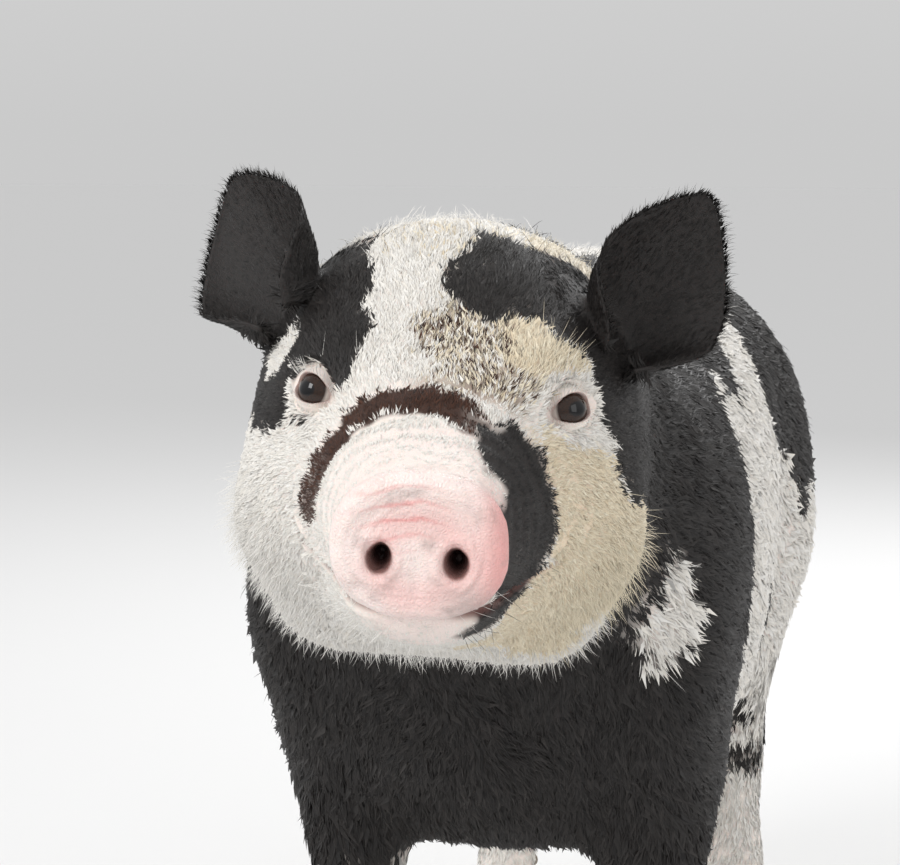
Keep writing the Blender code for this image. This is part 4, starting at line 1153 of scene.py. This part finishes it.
# Each hair is a little darker at its root: painted shade among the crowded hairs
coat_finish, tree, shader = new_finish("pig_hair", Roughness=0.50, Specular_IOR_Level=0.28)
hair = grouped(tree, coat_colour, Shade=attribute(tree, "shade"))
shadow = ranged(tree, attribute(tree, "tip"), To_Min=0.72, To_Max=1.0)
darker = tree.nodes.new("ShaderNodeVectorMath")
darker.operation = "SCALE"
tree.links.new(hair, darker.inputs[0])
tree.links.new(shadow, darker.inputs["Scale"])
tree.links.new(darker.outputs["Vector"], shader.inputs["Base Color"])

for index, name in enumerate(("head", "trunk", "legs")):
    members = np.flatnonzero(region == index)
    order = members[np.argsort(chart_u[members] if name != "legs" else chart_v[members], kind="stable")]
    for part, mine in enumerate(np.array_split(order, math.ceil(len(order) / PIECE_TUFTS))):
        edges_u = (chart_u[mine].min(), chart_u[mine].max())
        edges_v = (chart_v[mine].min(), chart_v[mine].max())
        coat_piece(f"coat_{name}_{part + 1}", mine, (edges_u, edges_v))
coat_piece("coat_ears_tail", np.flatnonzero(region >= 3), ((-0.02, 1.0), (0.0, 1.0)))


# Bristles. Longer stiff hairs stand out of the coat: lashes, whiskers, the fringe of cheeks, jowls and
# ears, the crest of neck and back, and the tuft of the tail. Each is a closed spindle rooted in the skin.
TURN_ROUND = (-math.pi, math.pi)


def bristle_piece(name, start, way, out, size, thick, bend):
    """One mesh of bristles, from rows of their roots, the way they point, the way they bend away from,
    their lengths and their widths."""
    count = len(start)
    across = unit(np.cross(out, way))
    lifted = unit(np.cross(way, across))
    size, thick = size[:, None], thick[:, None]
    rings = [start - way * 0.001]
    normals = [lifted]
    for share, full in ((0.35, 1.0), (0.72, 0.62)):
        centre = start + way * size * share - lifted * size * bend * share**2
        for angle in (90, 210, 330):
            c, s = math.cos(math.radians(angle)), math.sin(math.radians(angle))
            rings.append(centre + (across * c + lifted * s) * thick * 0.5 * full)
            normals.append(unit(across * c + lifted * (s + 0.6)))
    rings.append(start + way * size - lifted * size * bend)
    normals.append(lifted)
    corners = np.stack(rings, axis=1).reshape(-1, 3)
    shown = np.stack(normals, axis=1).reshape(-1, 3)
    pattern = []
    for k in range(3):
        after = (k + 1) % 3
        pattern += [(0, 1 + after, 1 + k), (1 + k, 1 + after, 4 + after), (1 + k, 4 + after, 4 + k),
                    (4 + k, 4 + after, 7)]
    faces = ((np.arange(count) * 8)[:, None, None] + np.array(pattern)).reshape(-1, 3)
    mesh = hair_mesh(name, corners, faces, shown, coat_finish)
    found = marks(start, 0.003)
    for label in HAIR_MARKS:
        store(mesh, label, np.repeat(found[label] > 0.5, 8))
    store(mesh, "shade", np.full(count * 8, 0.8))
    store(mesh, "tip", np.tile((0.2,) + (0.6,) * 3 + (0.8,) * 3 + (1.0,), count))
    part, at = regions(start)
    u, v = charts(start, out, part, at)
    # Ranges of u and v of each region's charts, and the corner that they get on the shared unwrap
    for index, (u_range, v_range, corner_u, corner_v) in enumerate((
        (TURN_ROUND, (0.0, 0.4), 0.02, 0.02),
        (TURN_ROUND, (-0.5, 0.62), 0.35, 0.02),
        ((0, 1), (0, 1), 0.68, 0.02),
        ((0, 1), (0, 1), 0.02, 0.52),
        ((0, 1), (0, 1), 0.35, 0.52),
    )):
        mine = part == index
        u[mine] = (u[mine] - u_range[0]) / (u_range[1] - u_range[0]) * 0.30 + corner_u
        v[mine] = (v[mine] - v_range[0]) / (v_range[1] - v_range[0]) * 0.45 + corner_v
    corners = ((0, 0.5), (0.3, 0.1), (0.3, 0.5), (0.3, 0.9), (0.7, 0.2), (0.7, 0.5), (0.7, 0.8), (1, 0.5))
    bake = mesh.uv_layers.new(name="OFBake")
    bake.data.foreach_set("uv", patches(u, v, ((0, 1), (0, 1)), corners)[faces.ravel()].ravel())
    return mesh


def lay(rows):
    """The rows of all kinds end to end."""
    return tuple(np.concatenate([row[k] for row in rows]) for k in range(5))


# Each kind by the degrees it is lifted, its unrest, lengths, width and seed, and where it is crowded
stands = []   # (root, way, out, length, thickness)
x, y, z = in_head(middle).T
across, back, tall = middle.T
for count, lift_by, unrest, sizes, thick, seed, spots in (
    # Cheeks
    (1700, 42, 0.22, (0.011, 0.026), 0.00038, 81,
     hump(y, 0.175, 0.055) * soft_step(-z, -0.01, 0.05) * soft_step(abs(x), 0.05, 0.10)),
    # Jowls
    (900, 38, 0.22, (0.013, 0.028), 0.00040, 82, hump(y, 0.20, 0.07) * soft_step(-z, 0.08, 0.13)),
    # Lips
    (170, 50, 0.22, (0.010, 0.022), 0.00030, 83,
     hump(y, 0.055, 0.035) * (y > 0.026) * soft_step(-z, 0.0, 0.03)),
    # Brows
    (90, 55, 0.22, (0.012, 0.024), 0.00030, 84,
     hump(y, 0.150, 0.022) * hump(abs(x), 0.066, 0.014) * hump(z, 0.088, 0.012)),
    # Poll, between the ears
    (700, 22, 0.22, (0.012, 0.024), 0.00034, 85, hump(y, 0.26, 0.04) * soft_step(z, 0.09, 0.13)),
    # Crest of the neck and back
    (2600, 20, 0.16, (0.026, 0.046), 0.00055, 86,
     soft_step(tall, 0.60, 0.66) * hump(across, 0, 0.045) * (y > 0.28)),
    # Whole trunk
    (3000, 17, 0.16, (0.022, 0.036), 0.00050, 87,
     hump(back, 0.0, 1.0) * (back < 0.56) * (back > -0.36) * (tall > 0.25)),
):
    base, out = scatter(spots * (1 - on_ear), count, seed)
    part, at = regions(base)
    flat = coat_lie(base, out, part, at, unrest, seed)
    dice = np.random.default_rng(seed)
    up = np.radians(lift_by * dice.uniform(0.5, 1.3, count))[:, None]
    stands.append((base, flat * np.cos(up) + out * np.sin(up), out, dice.uniform(*sizes, count),
                   np.full(count, thick)))

# Tuft at the end of the tail
TAIL_TUFT = 260
dice = np.random.default_rng(88)
tuft_at = (44 + 15 * dice.random(TAIL_TUFT) ** 0.6).astype(int)
way = np.gradient(tail_places, axis=0)[tuft_at]
around = unit(np.cross(way, dice.normal(size=(TAIL_TUFT, 3))))
hanging = unit(unit(way) + 0.30 * around + np.array((0, 0, -0.25)))
stands.append((tail_places[tuft_at] + around * 0.003, hanging, around,
               dice.uniform(0.020, 0.042, TAIL_TUFT), np.full(TAIL_TUFT, 0.0005)))

# Fringe along the edges of the ears
EDGE_HAIRS = 210
for side, hand in SIDES:
    into = np.array(ear_frame(side, hand))
    sheet = ear_sheet()
    for edge, inward in ((0, 1), (-1, -2)):
        line = sheet[:, edge]
        out_way = line - sheet[:, inward]
        pick = dice.uniform(4, EAR_ROWS - 1.01, EDGE_HAIRS)
        low = pick.astype(int)
        t = (pick - low)[:, None]
        base = line[low] * (1 - t) + line[low + 1] * t
        astray = 0.30 * dice.normal(size=(EDGE_HAIRS, 3))
        way = unit(0.7 * unit(out_way[low]) + np.array((0, 0, 1.1)) + astray)
        out = unit(np.cross(way, np.array((0, 1.0, 0.2))))
        stands.append((base @ into[:3, :3].T + into[:3, 3], way @ into[:3, :3].T, out @ into[:3, :3].T,
                       dice.uniform(0.004, 0.010, EDGE_HAIRS), np.full(EDGE_HAIRS, 0.00028)))

# Lashes: a full row over each eye and a short thin row under it
for eye in eyes.values():
    centre, along, up, ahead = (np.array(part) for part in eye)
    for count, sweep, sizes, tall in (
        (46, (25, 168), (0.008, 0.013), LID_UP),
        (20, (200, 335), (0.004, 0.006), -LID_DOWN),
    ):
        angle = np.radians(np.linspace(*sweep, count) + dice.normal(size=count) * 1.5)
        a = np.cos(angle) * LID_HALF * 1.04
        b = abs(np.sin(angle)) * tall * 1.04 * (1 - 0.22 * np.minimum(abs(a) / LID_HALF, 1) ** 2)
        deep = np.sqrt(np.maximum((EYE_RADIUS + 0.0016) ** 2 - a**2 - b**2, 0))
        base = centre + a[:, None] * along + b[:, None] * up + deep[:, None] * ahead
        away = (a / LID_HALF)[:, None] * along + np.sign(tall) * 0.55 * up + 0.9 * ahead
        way = unit(away + 0.10 * dice.normal(size=(count, 3)))
        stands.append((base, way, np.tile(-np.sign(tall) * up, (count, 1)), dice.uniform(*sizes, count),
                       np.full(count, 0.00030)))

BRISTLE_BEND = 0.16
bristles = link("bristles", bristle_piece("bristles", *lay(stands), BRISTLE_BEND))
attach(bristles, "root")


# Camera and light. The camera keeps the photo's close view of the face from slightly above and to the
# pig's left. A plain pale floor and three soft lamps stand round the part.
FOCAL, ACROSS, SENSOR = 2512.0, 900.0, 36.0           # pixels, pixels and millimetres
DISTANCE, AZIMUTH, ELEVATION = 1.38, 12.0, 7.0
DISC_PIXEL, PICTURE_MIDDLE = (418.0, 550.0), (450.0, 432.5)
camera = link("camera", bpy.data.cameras.new("camera"))
bpy.context.scene.camera = camera
camera.data.sensor_width = SENSOR
camera.data.lens = SENSOR * FOCAL / ACROSS
azimuth, elevation = math.radians(AZIMUTH), math.radians(ELEVATION)
back = Vector((math.sin(azimuth) * math.cos(elevation), -math.cos(azimuth) * math.cos(elevation),
               math.sin(elevation)))
side_way = Vector((0, 0, 1)).cross(back).normalized()
up_way = back.cross(side_way)
offset = [(DISC_PIXEL[k] - PICTURE_MIDDLE[k]) / FOCAL * DISTANCE for k in range(2)]
camera.location = disc_middle + back * DISTANCE - side_way * offset[0] + up_way * offset[1]
camera.rotation_mode = "QUATERNION"
camera.rotation_quaternion = (-back).to_track_quat("-Z", "Y")
camera.data.clip_start, camera.data.clip_end = 0.05, 100.0

bm = bmesh.new()
bmesh.ops.create_grid(bm, x_segments=1, y_segments=1, size=30.0)
floor = link("floor", as_mesh("floor", bm))
floor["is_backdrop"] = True
paint, *_ = new_finish("floor", Base_Color=(0.755, 0.755, 0.755, 1), Roughness=0.85)
floor.data.materials.append(paint)

world = bpy.data.worlds.new("studio")
bpy.context.scene.world = world
world.use_nodes = True
sky = world.node_tree
direction = sky.nodes.new("ShaderNodeTexCoord")
height = sky.nodes.new("ShaderNodeSeparateXYZ")
sky.links.new(direction.outputs["Generated"], height.inputs["Vector"])
climb = ranged(sky, height.outputs["Z"], From_Max=0.35, To_Min=0.74, To_Max=0.96)
grey = sky.nodes.new("ShaderNodeCombineColor")
for channel in ("Red", "Green", "Blue"):
    sky.links.new(climb, grey.inputs[channel])
sky.links.new(grey.outputs["Color"], sky.nodes["Background"].inputs["Color"])
sky.nodes["Background"].inputs["Strength"].default_value = 0.80
bpy.context.scene.view_settings.view_transform = "Standard"
LIT_PLACE = Vector((0, -0.3, 0.45))
for name, place, size, power in (
    ("key", (-1.9, -2.6, 2.6), 1.5, 62.0),
    ("fill", (2.6, -2.2, 1.5), 2.0, 16.0),
    ("rim", (0.6, 2.6, 2.6), 1.8, 55.0),
):
    lamp = bpy.data.lights.new(name, "AREA")
    lamp.shape = "SQUARE"
    lamp.size = size
    lamp.energy = power
    holder = link(name, lamp)
    holder.location = place
    holder.rotation_mode = "QUATERNION"
    holder.rotation_quaternion = (LIT_PLACE - Vector(place)).to_track_quat("-Z", "Y")

low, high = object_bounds()
